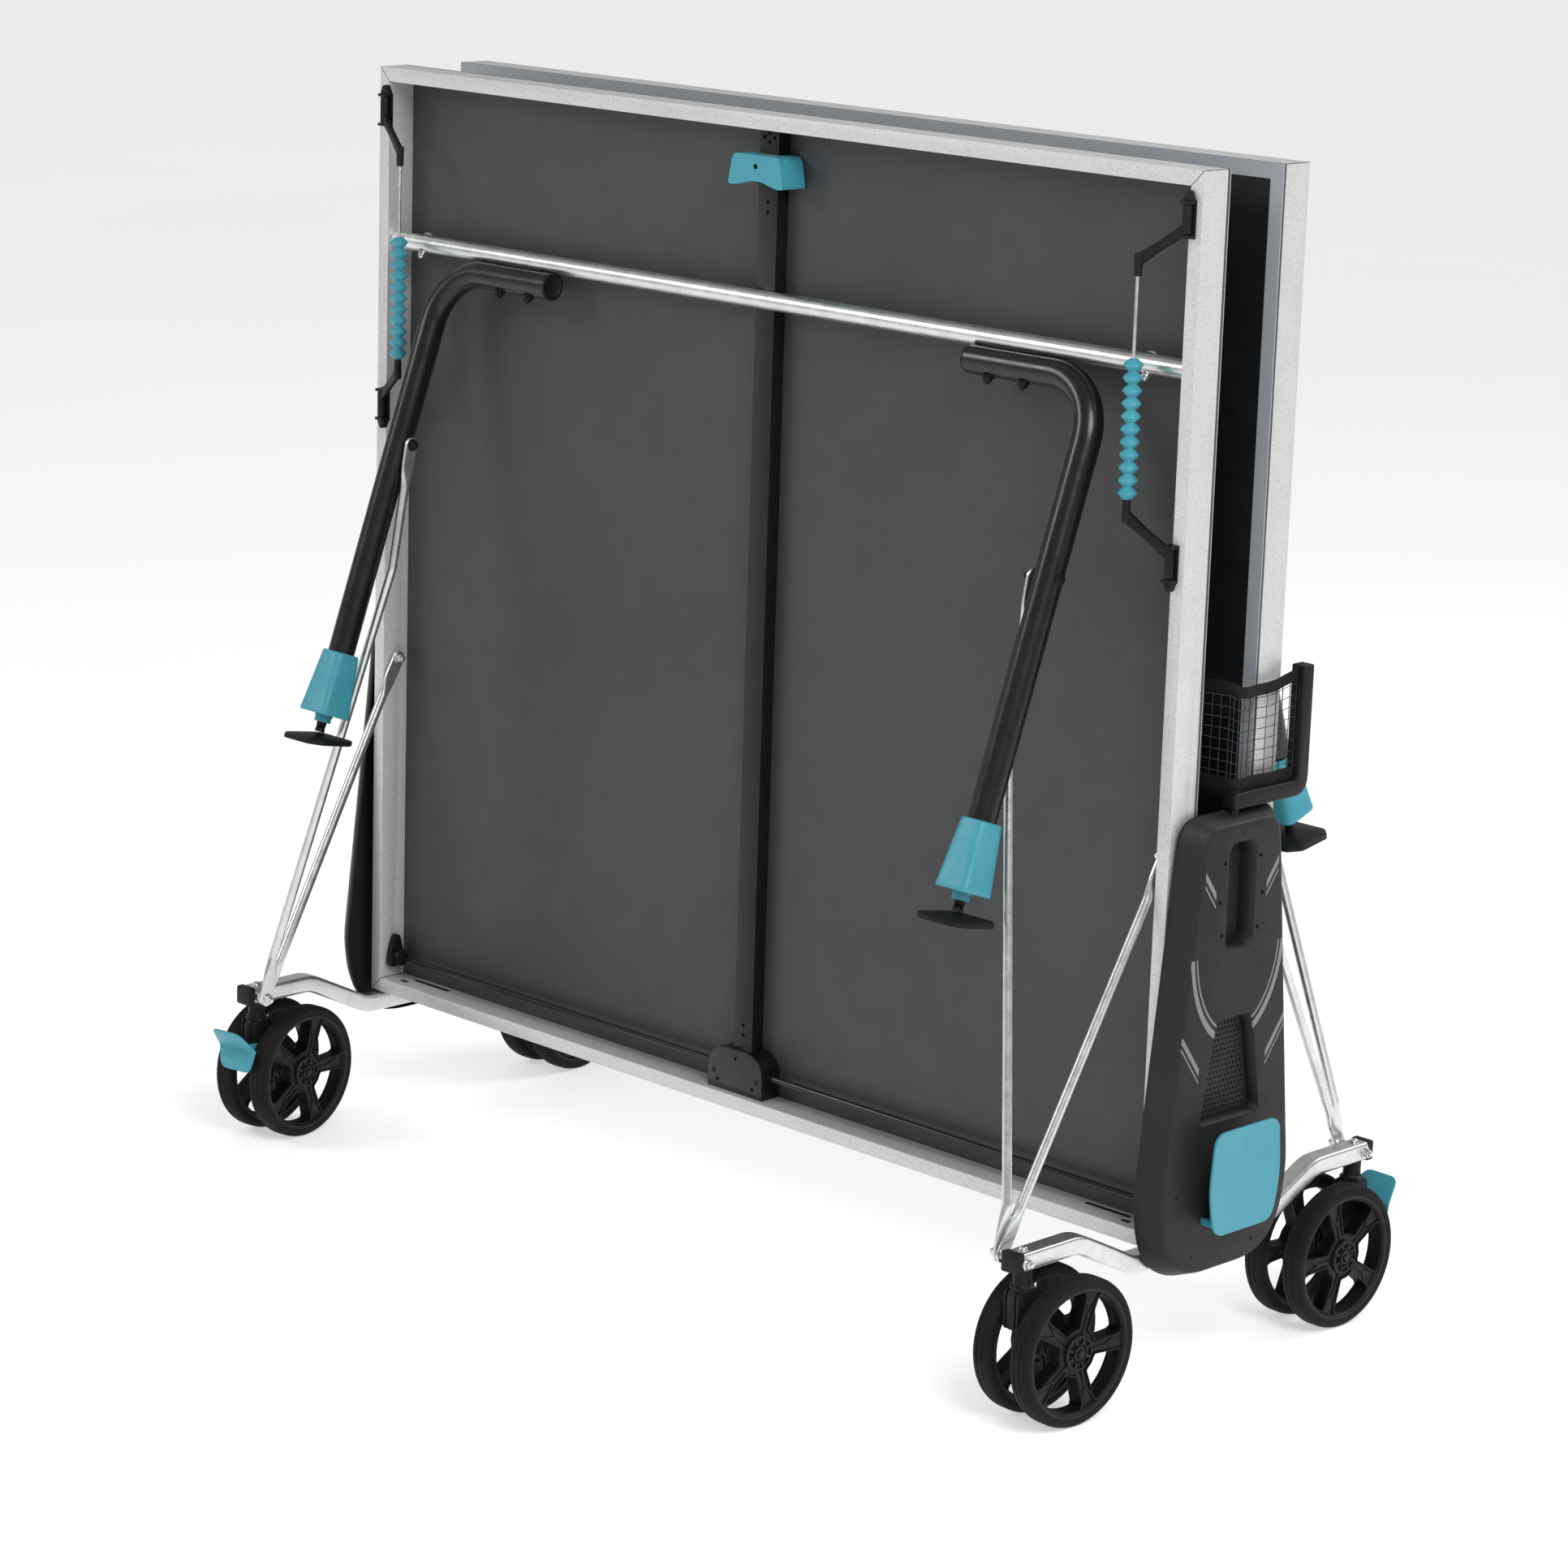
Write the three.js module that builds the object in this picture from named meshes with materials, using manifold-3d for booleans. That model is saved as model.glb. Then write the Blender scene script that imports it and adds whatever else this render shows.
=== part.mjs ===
// Folding outdoor table-tennis table in its storage position, standing on four twin-wheel casters.
//
// Millimetres. Origin on the floor at the middle of the table, +X along the net towards the right end,
// +Y towards the rear half, +Z up. The rear half is the front half turned by half a turn about +Z.

import * as THREE from 'three';
import { ConvexGeometry } from 'three/addons/geometries/ConvexGeometry.js';
import { mergeVertices } from 'three/addons/utils/BufferGeometryUtils.js';
import Module from 'manifold-3d';

const wasm = await Module();
wasm.setup();

// ---------------------------------------------------------------- driving dimensions

const GAP = 0.3; // between solids that rest on each other
const RUNNING = 0.4; // radial clearance of a shaft in its hole

// Playing surface and how it is stored
const TABLE_WIDTH = 1525;
const HALF_LENGTH = 1370;
const PLAY_HEIGHT = 760;
const TOP_THICKNESS = 5;
const STORE_GAP = 101.4; // between the two playing surfaces
const STORE_HEIGHT = 185; // floor to the lower edge of a stored half
const PLAY_GAP = 2; // middle of the table to the inner edge of a half, in the playing position

// Apron under the playing surface
const APRON_DEPTH = 45.4;
const APRON_WIDTH = 20;
const APRON_WALL = 2;

// Centre beam, lock box and release handle
const BEAM_WIDTH = 35;
const BEAM_DEPTH = 21;
const BEAM_WALL = 2;
const LOCK_BOX_WIDTH = 105;
const LOCK_BOX_HEIGHT = 62;
const LOCK_BOX_DEPTH = 35;
const LOCK_BOX_ROUND = 34;
const HANDLE_TOP_WIDTH = 86;
const HANDLE_BOTTOM_WIDTH = 103;
const HANDLE_HEIGHT = 42;
const HANDLE_NOTCH = 11;
const HANDLE_DEPTH = 43;
const HANDLE_FROM_EDGE = 54; // outer edge of the half to the top of the handle
const HANDLE_CLEARANCE = 0.8;

// Guide rod that carries the inner edge of a half
const ROD_DIAMETER = 10;
const ROD_FROM_EDGE = 50.5;
const ROD_BELOW_SURFACE = 24.5;
const ROLLER_DIAMETER = 14;
const ROLLER_LENGTH = 8;

// Legs
const AXLE_DIAMETER = 25;
const AXLE_WALL = 1.5;
const AXLE_FROM_OUTER_EDGE = 246;
const AXLE_BELOW_SURFACE = 34.3;
const LEG_DIAMETER = 38;
const LEG_WALL = 1.5;
const LEG_BEND_RADIUS = 78;
const LEG_FROM_SIDE = 147; // side of the table to the upright of a leg
const LEG_ARM_SPAN = 223.5; // upright of a leg to its inner end
const LEG_LEAN = 19.6; // degrees from vertical, stored
const LEG_CLAMP_ANGLE = 27; // degrees: where the leg lies under its axle
const SHROUD_LENGTH = 91;
const SHROUD_TOP = 44;
const SHROUD_BOTTOM = 56;
const SHROUD_ABOVE_FOOT = 39; // lower end of the shroud to the sole of the foot
const COLLAR_DIAMETER = 26;
const COLLAR_LENGTH = 11;
const STEM_DIAMETER = 14;
const PAD_SIZE = 84;
const PAD_CHAMFER = 16;
const PAD_EDGE = 7;
const PAD_CROWN = 5;
const PAD_TILT = 10; // degrees from level, stored
const PAD_JOINT_GAP = 1.5;
const LEG_STANDING_LEAN = 2.35; // degrees from vertical, in the playing position

// Struts
const STRUT_DIAMETER = 13;
const STRUT_EYE_WIDTH = 21;
const STRUT_EYE_THICKNESS = 4.9;
const STRUT_EYE_LENGTH = 48;
const STRUT_SPACER = 11.5; // between a carriage tube and the apron strut's eye
const APRON_STRUT_BELOW_SURFACE = 28.5;
const LEG_STRUT_SPARE = 14.4624; // from where the strut leaves the leg's side to the bend that takes it outwards

// Carriage
const TUBE_FROM_SIDE = 11; // side of the table to the middle of a carriage tube, inwards
const TUBE_WIDTH = 28;
const TUBE_HEIGHT = 25;
const TUBE_WALL = 2;
const TUBE_BEYOND_PIVOT = 13.5;
const TUBE_END_HEIGHT = 222.5;
const TUBE_MID_HEIGHT = 169.5;
const RAMP_FROM_PIVOT = 102.5; // to the ramp's upper bend
const RAMP_SPAN = 108; // between the ramp's two bends
const TUBE_BEND_RADIUS = 60;
const PIVOT_FROM_SURFACE = 287.8; // playing surface, stored, to the struts' bolt
const CROSSBAR_WIDTH = 40;

// Casters
const CASTER_FROM_PIVOT = 8.5;
const CASTER_TRAIL = 60;
const WHEEL_DIAMETER = 196;
const WHEEL_WIDTH = 30;
const WHEEL_PITCH = 65.5;
const WHEEL_RIM = 19;
const WHEEL_HUB = 46;
const WHEEL_SPOKES = 5;
const WHEEL_SPOKE = 20;
const WHEEL_AXLE = 10;
const FORK_WIDTH = 26;
const FORK_STEM = 24;
const PEDAL_WIDTH = 71;
const PEDAL_UPPER_WIDTH = 54;
const PEDAL_LOWER_WIDTH = 57;
const PEDAL_THICKNESS = 3;
const PEDAL_EAR = 3;
const PEDAL_PIVOT = [-14, 146]; // [y, z] in the caster's own frame
const PEDAL_FOLD = [-39, 147.6];
const PEDAL_TOP = [-65, 178];
const PEDAL_BOTTOM = [-44.5, 115];
const CASTER_HEADINGS = { front_left: 7.6, front_right: -3.4, rear_left: 4.5, rear_right: -2.2 };
const BRAKED = ['front_left', 'rear_right'];

// End housings
const HOUSING_CLEARANCE = 5.5; // side of the table to the housing
const HOUSING_DEPTH = 32;
const HOUSING_BOTTOM = 141;
const HOUSING_TOP = 749;
const HOUSING_WALL = 3;
const HOUSING_LOW_WIDTH = 290;
const HOUSING_HIGH_WIDTH = 183;
const HOUSING_TAPER = 21; // how far the front face stands in from the back edge
const HOUSING_LOW_ROUND = 95;
const HOUSING_SHOULDER = 122; // from the bottom up to the widest place
const HOUSING_HIGH_ROUND = 34;
const BALL_SLOT_WIDTH = 46;
const BALL_SLOT_HEIGHT = 134;
const BALL_SLOT_MIDDLE = 643;
const CHUTE_DEPTH = 24;
const GRILLE_TOP_WIDTH = 62;
const GRILLE_BOTTOM_WIDTH = 112;
const GRILLE_TOP = 480;
const GRILLE_BOTTOM = 352;
const GRILLE_DEPTH = 16;

// Bat holders
const BAT_PLATE_WIDTH = 142;
const BAT_PLATE_HEIGHT = 140;
const BAT_PLATE_BOTTOM = 208;
const BAT_PLATE_THICKNESS = 4;
const BAT_GAP = 29;
const BAT_SHELF_WIDTH = 96;
const BAT_SHELF_HEIGHT = 18;

// Net and its posts
const NET_OVERHANG = 152.5;
const NET_HEIGHT = 152.5;
const NET_THICKNESS = 3;
const NET_BOTTOM_GAP = 5;
const NET_SAG = 16;
const POST_SECTION = 21;
const POST_ARM_BOTTOM = 752;
const POST_CORNER = 24;
const POST_RISE_OVER_NET = 9;
const POST_PIN = 14;

// Score counters
const COUNTER_ROD = 5;
const COUNTER_OFFSET_X = 57; // hinge axis to rod
const COUNTER_OFFSET_Y = 19;
const COUNTER_HINGE = 12;
const COUNTER_TOP_FROM_EDGE = 60; // outer edge of the half to the upper hinge
const COUNTER_SPAN = 424; // between the two hinges
const COUNTER_ARM_RISE = 62;
const COUNTER_ARM_WIDTH = 15;
const BEAD_DIAMETER = 25;
const BEAD_WAIST = 11;
const BEAD_PITCH = 15.9;
const BEAD_COUNT = 11;

// ---------------------------------------------------------------- worked-out places

const surfaceY = -STORE_GAP / 2;
const underY = surfaceY - TOP_THICKNESS;
const apronInnerY = underY - GAP;
const apronOuterY = apronInnerY - APRON_DEPTH;
const storeTop = STORE_HEIGHT + HALF_LENGTH;
const apronInnerX = TABLE_WIDTH / 2 - APRON_WIDTH;
const tubeX = TABLE_WIDTH / 2 - TUBE_FROM_SIDE;
const tubeInnerX = tubeX - TUBE_WIDTH / 2;
const legX = TABLE_WIDTH / 2 - LEG_FROM_SIDE;
const housingBack = TABLE_WIDTH / 2 + HOUSING_CLEARANCE;
const housingFront = housingBack + HOUSING_DEPTH;
const axleFromEdge = HALF_LENGTH - AXLE_FROM_OUTER_EDGE; // from the inner edge of the half

const rod = { y: surfaceY - ROD_BELOW_SURFACE, z: STORE_HEIGHT + ROD_FROM_EDGE };
const axle = { y: surfaceY - AXLE_BELOW_SURFACE, z: STORE_HEIGHT + axleFromEdge };
const carriagePivot = { y: surfaceY - PIVOT_FROM_SURFACE, z: TUBE_END_HEIGHT };
const casterY = -carriagePivot.y - CASTER_FROM_PIVOT; // from the middle of the table
const tubeEndY = -carriagePivot.y + TUBE_BEYOND_PIVOT;
const rampOuterY = -carriagePivot.y - RAMP_FROM_PIVOT;
const rampInnerY = rampOuterY - RAMP_SPAN;

// How far along a member a strut from the carriage pivot has to meet it, so that the strut is as long in
// storage as in play. Each place is the member's starting point and its direction, as [y, z].
function strutReach(stored, storedWay, playing, playingWay) {
  const from = (point) => [point[0] - carriagePivot.y, point[1] - carriagePivot.z];
  const dot = (a, b) => a[0] * b[0] + a[1] * b[1];
  const s = from(stored);
  const p = from(playing);
  return (dot(p, p) - dot(s, s)) / (2 * (dot(s, storedWay) - dot(p, playingWay)));
}

const apronPivotY = surfaceY - APRON_STRUT_BELOW_SURFACE;
const apronPivotReach = strutReach(
  [apronPivotY, STORE_HEIGHT], [0, 1],
  [-PLAY_GAP, PLAY_HEIGHT - APRON_STRUT_BELOW_SURFACE], [-1, 0],
);
const apronPivot = { y: apronPivotY, z: STORE_HEIGHT + apronPivotReach };

// The leg hangs from a point just under its axle and is as long as the playing height asks for.
const legLean = THREE.MathUtils.degToRad(LEG_LEAN);
const clampAngle = THREE.MathUtils.degToRad(LEG_CLAMP_ANGLE);
const clampReach = (AXLE_DIAMETER + LEG_DIAMETER) / 2 + GAP;
const legTop = {
  y: axle.y - clampReach * Math.sin(clampAngle),
  z: axle.z - clampReach * Math.cos(clampAngle),
};
const standingLean = THREE.MathUtils.degToRad(LEG_STANDING_LEAN);
const axlePlayHeight = PLAY_HEIGHT - AXLE_BELOW_SURFACE;
const clampAcross = clampReach * Math.sin(clampAngle - legLean);
const clampAlong = clampReach * Math.cos(clampAngle - legLean);
const legReach = (axlePlayHeight + clampAcross * Math.sin(standingLean)) / Math.cos(standingLean)
  - clampAlong;
const shroudEnd = legReach - SHROUD_ABOVE_FOOT;
const standingClamp = clampAngle - legLean + standingLean;
const legPivotReach = strutReach(
  [legTop.y, legTop.z], [-Math.sin(legLean), -Math.cos(legLean)],
  [
    -PLAY_GAP - axleFromEdge - clampReach * Math.sin(standingClamp),
    axlePlayHeight - clampReach * Math.cos(standingClamp),
  ],
  [-Math.sin(standingLean), -Math.cos(standingLean)],
);

const postSwing = TABLE_WIDTH / 2 + NET_OVERHANG;
const postX = housingBack + 1 + POST_SECTION / 2;
const postReach = postSwing - postX;
const postTop = PLAY_HEIGHT + NET_HEIGHT + POST_RISE_OVER_NET;

// ---------------------------------------------------------------- finishes

const FINISHES = {
  laminate: { color: 0x30343a, roughness: 0.6, metalness: 0.0 },
  silverPaint: { color: 0xc9cacb, roughness: 0.45, metalness: 0.3 },
  blackPaint: { color: 0x1c1b1a, roughness: 0.35, metalness: 0.2 },
  galvanised: { color: 0xb8bcb9, roughness: 0.3, metalness: 0.9 },
  charcoalPlastic: { color: 0x2f2f30, roughness: 0.6, metalness: 0.0 },
  blackPlastic: { color: 0x161616, roughness: 0.55, metalness: 0.0 },
  tealPlastic: { color: 0x3f9fb4, roughness: 0.45, metalness: 0.0 },
  netFabric: { color: 0x121212, roughness: 0.9, metalness: 0.0 },
};

// ---------------------------------------------------------------- modelling helpers

// A closed three.js geometry as a solid that can be joined and cut.
function solid(geometry) {
  const bare = geometry.index ? geometry.clone() : geometry;
  bare.deleteAttribute('normal');
  bare.deleteAttribute('uv');
  const merged = mergeVertices(bare, 1e-4);
  const { position } = merged.attributes;
  const mesh = new wasm.Mesh({
    numProp: 3,
    vertProperties: new Float32Array(position.array),
    triVerts: new Uint32Array(merged.index.array),
  });
  return new wasm.Manifold(mesh);
}

function fromSolid(manifold) {
  const { vertProperties, triVerts } = manifold.getMesh();
  const geometry = new THREE.BufferGeometry();
  geometry.setAttribute('position', new THREE.BufferAttribute(new Float32Array(vertProperties), 3));
  geometry.setIndex(new THREE.BufferAttribute(new Uint32Array(triVerts), 1));
  geometry.computeVertexNormals();
  return geometry;
}

// Joins the first list of geometries and cuts the second list out of them.
function carve(bodies, cuts = []) {
  let result = solid(bodies[0]);
  for (const body of bodies.slice(1)) result = result.add(solid(body));
  for (const tool of cuts) result = result.subtract(solid(tool));
  return fromSolid(result);
}

function box(x0, x1, y0, y1, z0, z1) {
  const geometry = new THREE.BoxGeometry(Math.abs(x1 - x0), Math.abs(y1 - y0), Math.abs(z1 - z0));
  return geometry.translate((x0 + x1) / 2, (y0 + y1) / 2, (z0 + z1) / 2);
}

// A closed outline of [u, v] corners as a shape, each corner with its own optional radius [u, v, r].
function outline(corners) {
  const shape = new THREE.Shape();
  const count = corners.length;
  corners.forEach(([u, v, radius = 0], i) => {
    const here = new THREE.Vector2(u, v);
    const before = new THREE.Vector2(...corners[(i + count - 1) % count].slice(0, 2));
    const after = new THREE.Vector2(...corners[(i + 1) % count].slice(0, 2));
    const towardsBefore = before.sub(here).normalize();
    const towardsAfter = after.sub(here).normalize();
    const start = here.clone().addScaledVector(towardsBefore, radius);
    const end = here.clone().addScaledVector(towardsAfter, radius);
    if (i === 0) shape.moveTo(start.x, start.y);
    else shape.lineTo(start.x, start.y);
    if (radius > 0) shape.quadraticCurveTo(here.x, here.y, end.x, end.y);
  });
  shape.closePath();
  return shape;
}

function rectangle(width, height, chamfer = 0) {
  const u = width / 2;
  const v = height / 2;
  return outline([[-u, -v, chamfer], [u, -v, chamfer], [u, v, chamfer], [-u, v, chamfer]]);
}

function circle(radius) {
  const shape = new THREE.Shape();
  shape.absarc(0, 0, radius, 0, Math.PI * 2, false);
  return shape;
}

// Corners [u, v] along an arc about the origin.
function arc(radius, from, to, steps) {
  return Array.from({ length: steps + 1 }, (_, i) => {
    const angle = from + ((to - from) * i) / steps;
    return [radius * Math.cos(angle), radius * Math.sin(angle)];
  });
}

// Extrudes a shape drawn in (u, v) by a depth. The planes name which axes u, v and the depth run along.
function slab(shape, depth, plane, start, curveSegments = 4) {
  const geometry = new THREE.ExtrudeGeometry(shape, { depth, bevelEnabled: false, curveSegments });
  const turns = {
    'xz': new THREE.Matrix4().makeBasis(
      new THREE.Vector3(1, 0, 0), new THREE.Vector3(0, 0, 1), new THREE.Vector3(0, -1, 0)),
    'yz': new THREE.Matrix4().makeBasis(
      new THREE.Vector3(0, 1, 0), new THREE.Vector3(0, 0, 1), new THREE.Vector3(1, 0, 0)),
    'xy': new THREE.Matrix4(),
  };
  geometry.applyMatrix4(turns[plane]);
  const offset = { xz: [0, start, 0], yz: [start, 0, 0], xy: [0, 0, start] }[plane];
  return geometry.translate(...offset);
}

// A solid or hollow bar between x0 and x1 along X, centred on (y, z).
function barX(diameter, x0, x1, y, z, { wall = 0, sides = 16 } = {}) {
  const outer = diameter / 2;
  const inner = wall > 0 ? outer - wall : 0;
  const low = Math.min(x0, x1);
  const high = Math.max(x0, x1);
  const profile = [
    new THREE.Vector2(inner, 0),
    new THREE.Vector2(outer, 0),
    new THREE.Vector2(outer, high - low),
    new THREE.Vector2(inner, high - low),
  ];
  if (wall > 0) profile.push(profile[0].clone());
  const geometry = new THREE.LatheGeometry(profile, sides);
  return geometry.rotateZ(-Math.PI / 2).translate(low, y, z);
}

function barZ(diameter, z0, z1, x, y, sides = 16) {
  const geometry = new THREE.CylinderGeometry(diameter / 2, diameter / 2, Math.abs(z1 - z0), sides);
  return geometry.rotateX(Math.PI / 2).translate(x, y, (z0 + z1) / 2);
}

// A run of straights joined by round bends. Its stations lie only at its ends and along its bends, so a
// swept section gets no needless rings on the straights.
class BentRun extends THREE.Curve {
  constructor(corners, radius, bendSteps = 6) {
    super();
    this.stations = [];
    this.directions = [];
    const first = new THREE.Vector3().subVectors(corners[1], corners[0]).normalize();
    this.addStation(corners[0], first);
    for (let i = 1; i < corners.length - 1; i += 1) this.addBend(corners, i, radius, bendSteps);
    const last = corners.length - 1;
    this.addStation(corners[last], new THREE.Vector3().subVectors(corners[last], corners[last - 1]).normalize());
  }

  addStation(point, direction) {
    this.stations.push(point.clone());
    this.directions.push(direction.clone());
  }

  addBend(corners, i, radius, steps) {
    const arriving = new THREE.Vector3().subVectors(corners[i], corners[i - 1]).normalize();
    const leaving = new THREE.Vector3().subVectors(corners[i + 1], corners[i]).normalize();
    const turn = arriving.angleTo(leaving);
    const axis = new THREE.Vector3().crossVectors(arriving, leaving).normalize();
    const setback = radius * Math.tan(turn / 2);
    const start = corners[i].clone().addScaledVector(arriving, -setback);
    const toCentre = new THREE.Vector3().crossVectors(axis, arriving).multiplyScalar(radius);
    const centre = start.clone().add(toCentre);
    for (let step = 0; step <= steps; step += 1) {
      const angle = (turn * step) / steps;
      const spoke = toCentre.clone().negate().applyAxisAngle(axis, angle);
      this.addStation(centre.clone().add(spoke), arriving.clone().applyAxisAngle(axis, angle));
    }
  }

  get steps() {
    return this.stations.length - 1;
  }

  getSpacedPoints() {
    return this.stations.map((point) => point.clone());
  }

  getTangentAt(u) {
    return this.directions[Math.round(u * this.steps)].clone();
  }
}

function sweep(shape, run, curveSegments = 3) {
  return new THREE.ExtrudeGeometry(shape, { steps: run.steps, extrudePath: run, curveSegments });
}

function part(group, name, geometry, finish) {
  const mesh = new THREE.Mesh(geometry, new THREE.MeshStandardMaterial(FINISHES[finish]));
  mesh.name = name;
  group.add(mesh);
  return mesh;
}

// ---------------------------------------------------------------- one half of the table

function tableTop() {
  return box(-TABLE_WIDTH / 2, TABLE_WIDTH / 2, underY, surfaceY, STORE_HEIGHT, storeTop);
}

// The apron is a channel with its open side towards the playing surface.
function apronFrame() {
  const ring = (width, depth, start) => {
    const inset = (APRON_WIDTH - width) / 2;
    const frame = rectangle(TABLE_WIDTH - 2 * inset, HALF_LENGTH - 2 * inset);
    const inner = 2 * (inset + width);
    frame.holes.push(rectangle(TABLE_WIDTH - inner, HALF_LENGTH - inner));
    return slab(frame, depth, 'xz', start).translate(0, 0, (STORE_HEIGHT + storeTop) / 2);
  };
  const groove = ring(APRON_WIDTH - 2 * APRON_WALL, APRON_DEPTH - APRON_WALL + 1, apronInnerY + 1);
  const reach = TABLE_WIDTH / 2 + 1;
  const rodHole = barX(ROD_DIAMETER + 2 * RUNNING, -reach, reach, rod.y, rod.z);
  return carve([ring(APRON_WIDTH, APRON_DEPTH, apronInnerY)], [groove, rodHole]);
}

// The beam and the lock box at its lower end are one shell, also open towards the playing surface.
function centreBeam() {
  const low = STORE_HEIGHT + APRON_WIDTH + GAP;
  const high = storeTop - APRON_WIDTH - GAP;
  const shell = (inset, start) => {
    const half = LOCK_BOX_WIDTH / 2 - inset;
    const top = low + LOCK_BOX_HEIGHT - inset;
    const face = outline([
      [-half, low + inset], [half, low + inset],
      [half, top, LOCK_BOX_ROUND - inset], [-half, top, LOCK_BOX_ROUND - inset],
    ]);
    const side = BEAM_WIDTH / 2 - inset;
    const beamFace = apronInnerY - BEAM_DEPTH + inset;
    return [
      box(-side, side, start, beamFace, low + inset, high - inset),
      slab(face, start - (apronInnerY - LOCK_BOX_DEPTH + inset), 'xz', start),
    ];
  };
  const half = LOCK_BOX_WIDTH / 2;
  const rodHole = barX(ROD_DIAMETER + 2 * RUNNING, -half - 1, half + 1, rod.y, rod.z);
  const axleSaddle = barX(AXLE_DIAMETER + 2 * RUNNING, -half, half, axle.y, axle.z);
  return carve(shell(0, apronInnerY), [...shell(BEAM_WALL, apronInnerY + 1), rodHole, axleSaddle]);
}

function guideRod() {
  const end = housingBack - 1 + ROLLER_LENGTH;
  const bar = barX(ROD_DIAMETER, -end, end, rod.y, rod.z);
  const rollers = [-1, 1].map((side) => barX(
    ROLLER_DIAMETER, side * (end - ROLLER_LENGTH), side * end, rod.y, rod.z));
  return carve([bar, ...rollers]);
}

function releaseHandle() {
  const top = storeTop - HANDLE_FROM_EDGE;
  const bottom = top - HANDLE_HEIGHT;
  const face = outline([
    [-HANDLE_TOP_WIDTH / 2, top, 7],
    [-HANDLE_BOTTOM_WIDTH / 2, bottom, 5],
    [0, bottom + HANDLE_NOTCH],
    [HANDLE_BOTTOM_WIDTH / 2, bottom, 5],
    [HANDLE_TOP_WIDTH / 2, top, 7],
  ]);
  const backY = apronOuterY - HANDLE_CLEARANCE + HANDLE_DEPTH;
  const body = slab(face, HANDLE_DEPTH, 'xz', backY, 2);
  const half = BEAM_WIDTH / 2 + HANDLE_CLEARANCE;
  const beamFront = apronInnerY - BEAM_DEPTH - HANDLE_CLEARANCE;
  return carve([body], [box(-half, half, beamFront, backY + 1, bottom - 1, top + 1)]);
}

function legAxle() {
  const end = apronInnerX - GAP;
  return barX(AXLE_DIAMETER, -end, end, axle.y, axle.z, { wall: AXLE_WALL });
}

// A point on the leg's upright, at a distance below the leg's top bar, in the leg's own plane.
function onLeg(side, distance, offsetX = 0) {
  return new THREE.Vector3(
    side * (legX + offsetX),
    legTop.y - distance * Math.sin(legLean),
    legTop.z - distance * Math.cos(legLean),
  );
}

function leg(side) {
  const run = new BentRun([
    new THREE.Vector3(side * (legX - LEG_ARM_SPAN), legTop.y, legTop.z),
    onLeg(side, 0),
    onLeg(side, shroudEnd - 15),
  ], LEG_BEND_RADIUS, 7);
  const section = circle(LEG_DIAMETER / 2);
  section.holes.push(circle(LEG_DIAMETER / 2 - LEG_WALL));
  return sweep(section, run, 6);
}

// Places a geometry modelled along +Z, with its foot end down, onto the leg at a distance from its top.
function setOnLeg(geometry, side, distance, lean = legLean) {
  const at = onLeg(side, distance);
  return geometry.rotateX(-lean).translate(at.x, at.y, at.z);
}

function ringPoints(shape, z) {
  return shape.getPoints(4).map((p) => new THREE.Vector3(p.x, p.y, z));
}

function footShroud(side) {
  const top = ringPoints(rectangle(SHROUD_TOP, SHROUD_TOP, 15), SHROUD_LENGTH);
  const bottom = ringPoints(rectangle(SHROUD_BOTTOM, SHROUD_BOTTOM, 11), 0);
  const shell = new ConvexGeometry([...top, ...bottom]);
  const collar = barZ(COLLAR_DIAMETER, -COLLAR_LENGTH, 1, 0, 0, 12);
  const padTop = SHROUD_ABOVE_FOOT - PAD_EDGE - PAD_CROWN - PAD_JOINT_GAP;
  const stem = barZ(STEM_DIAMETER, -padTop, 0, 0, 0, 12);
  const bore = barZ(LEG_DIAMETER + 2 * RUNNING, 15 - GAP, SHROUD_LENGTH + 1, 0, 0, 24);
  return setOnLeg(carve([shell, collar, stem], [bore]), side, shroudEnd);
}

function footPad(side) {
  const sole = ringPoints(chamferedSquare(PAD_SIZE, PAD_CHAMFER), 0);
  const edge = ringPoints(chamferedSquare(PAD_SIZE, PAD_CHAMFER), PAD_EDGE);
  const crown = ringPoints(chamferedSquare(PAD_SIZE * 0.35, PAD_CHAMFER * 0.35), PAD_EDGE + PAD_CROWN);
  const pad = new ConvexGeometry([...sole, ...edge, ...crown]);
  pad.translate(0, 0, -PAD_EDGE - PAD_CROWN);
  return setOnLeg(pad, side, legReach - PAD_EDGE - PAD_CROWN, THREE.MathUtils.degToRad(PAD_TILT));
}

function chamferedSquare(size, chamfer) {
  const half = size / 2;
  const short = half - chamfer;
  return outline([
    [-short, -half], [short, -half], [half, -short], [half, short],
    [short, half], [-short, half], [-half, short], [-half, -short],
  ]);
}

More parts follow.
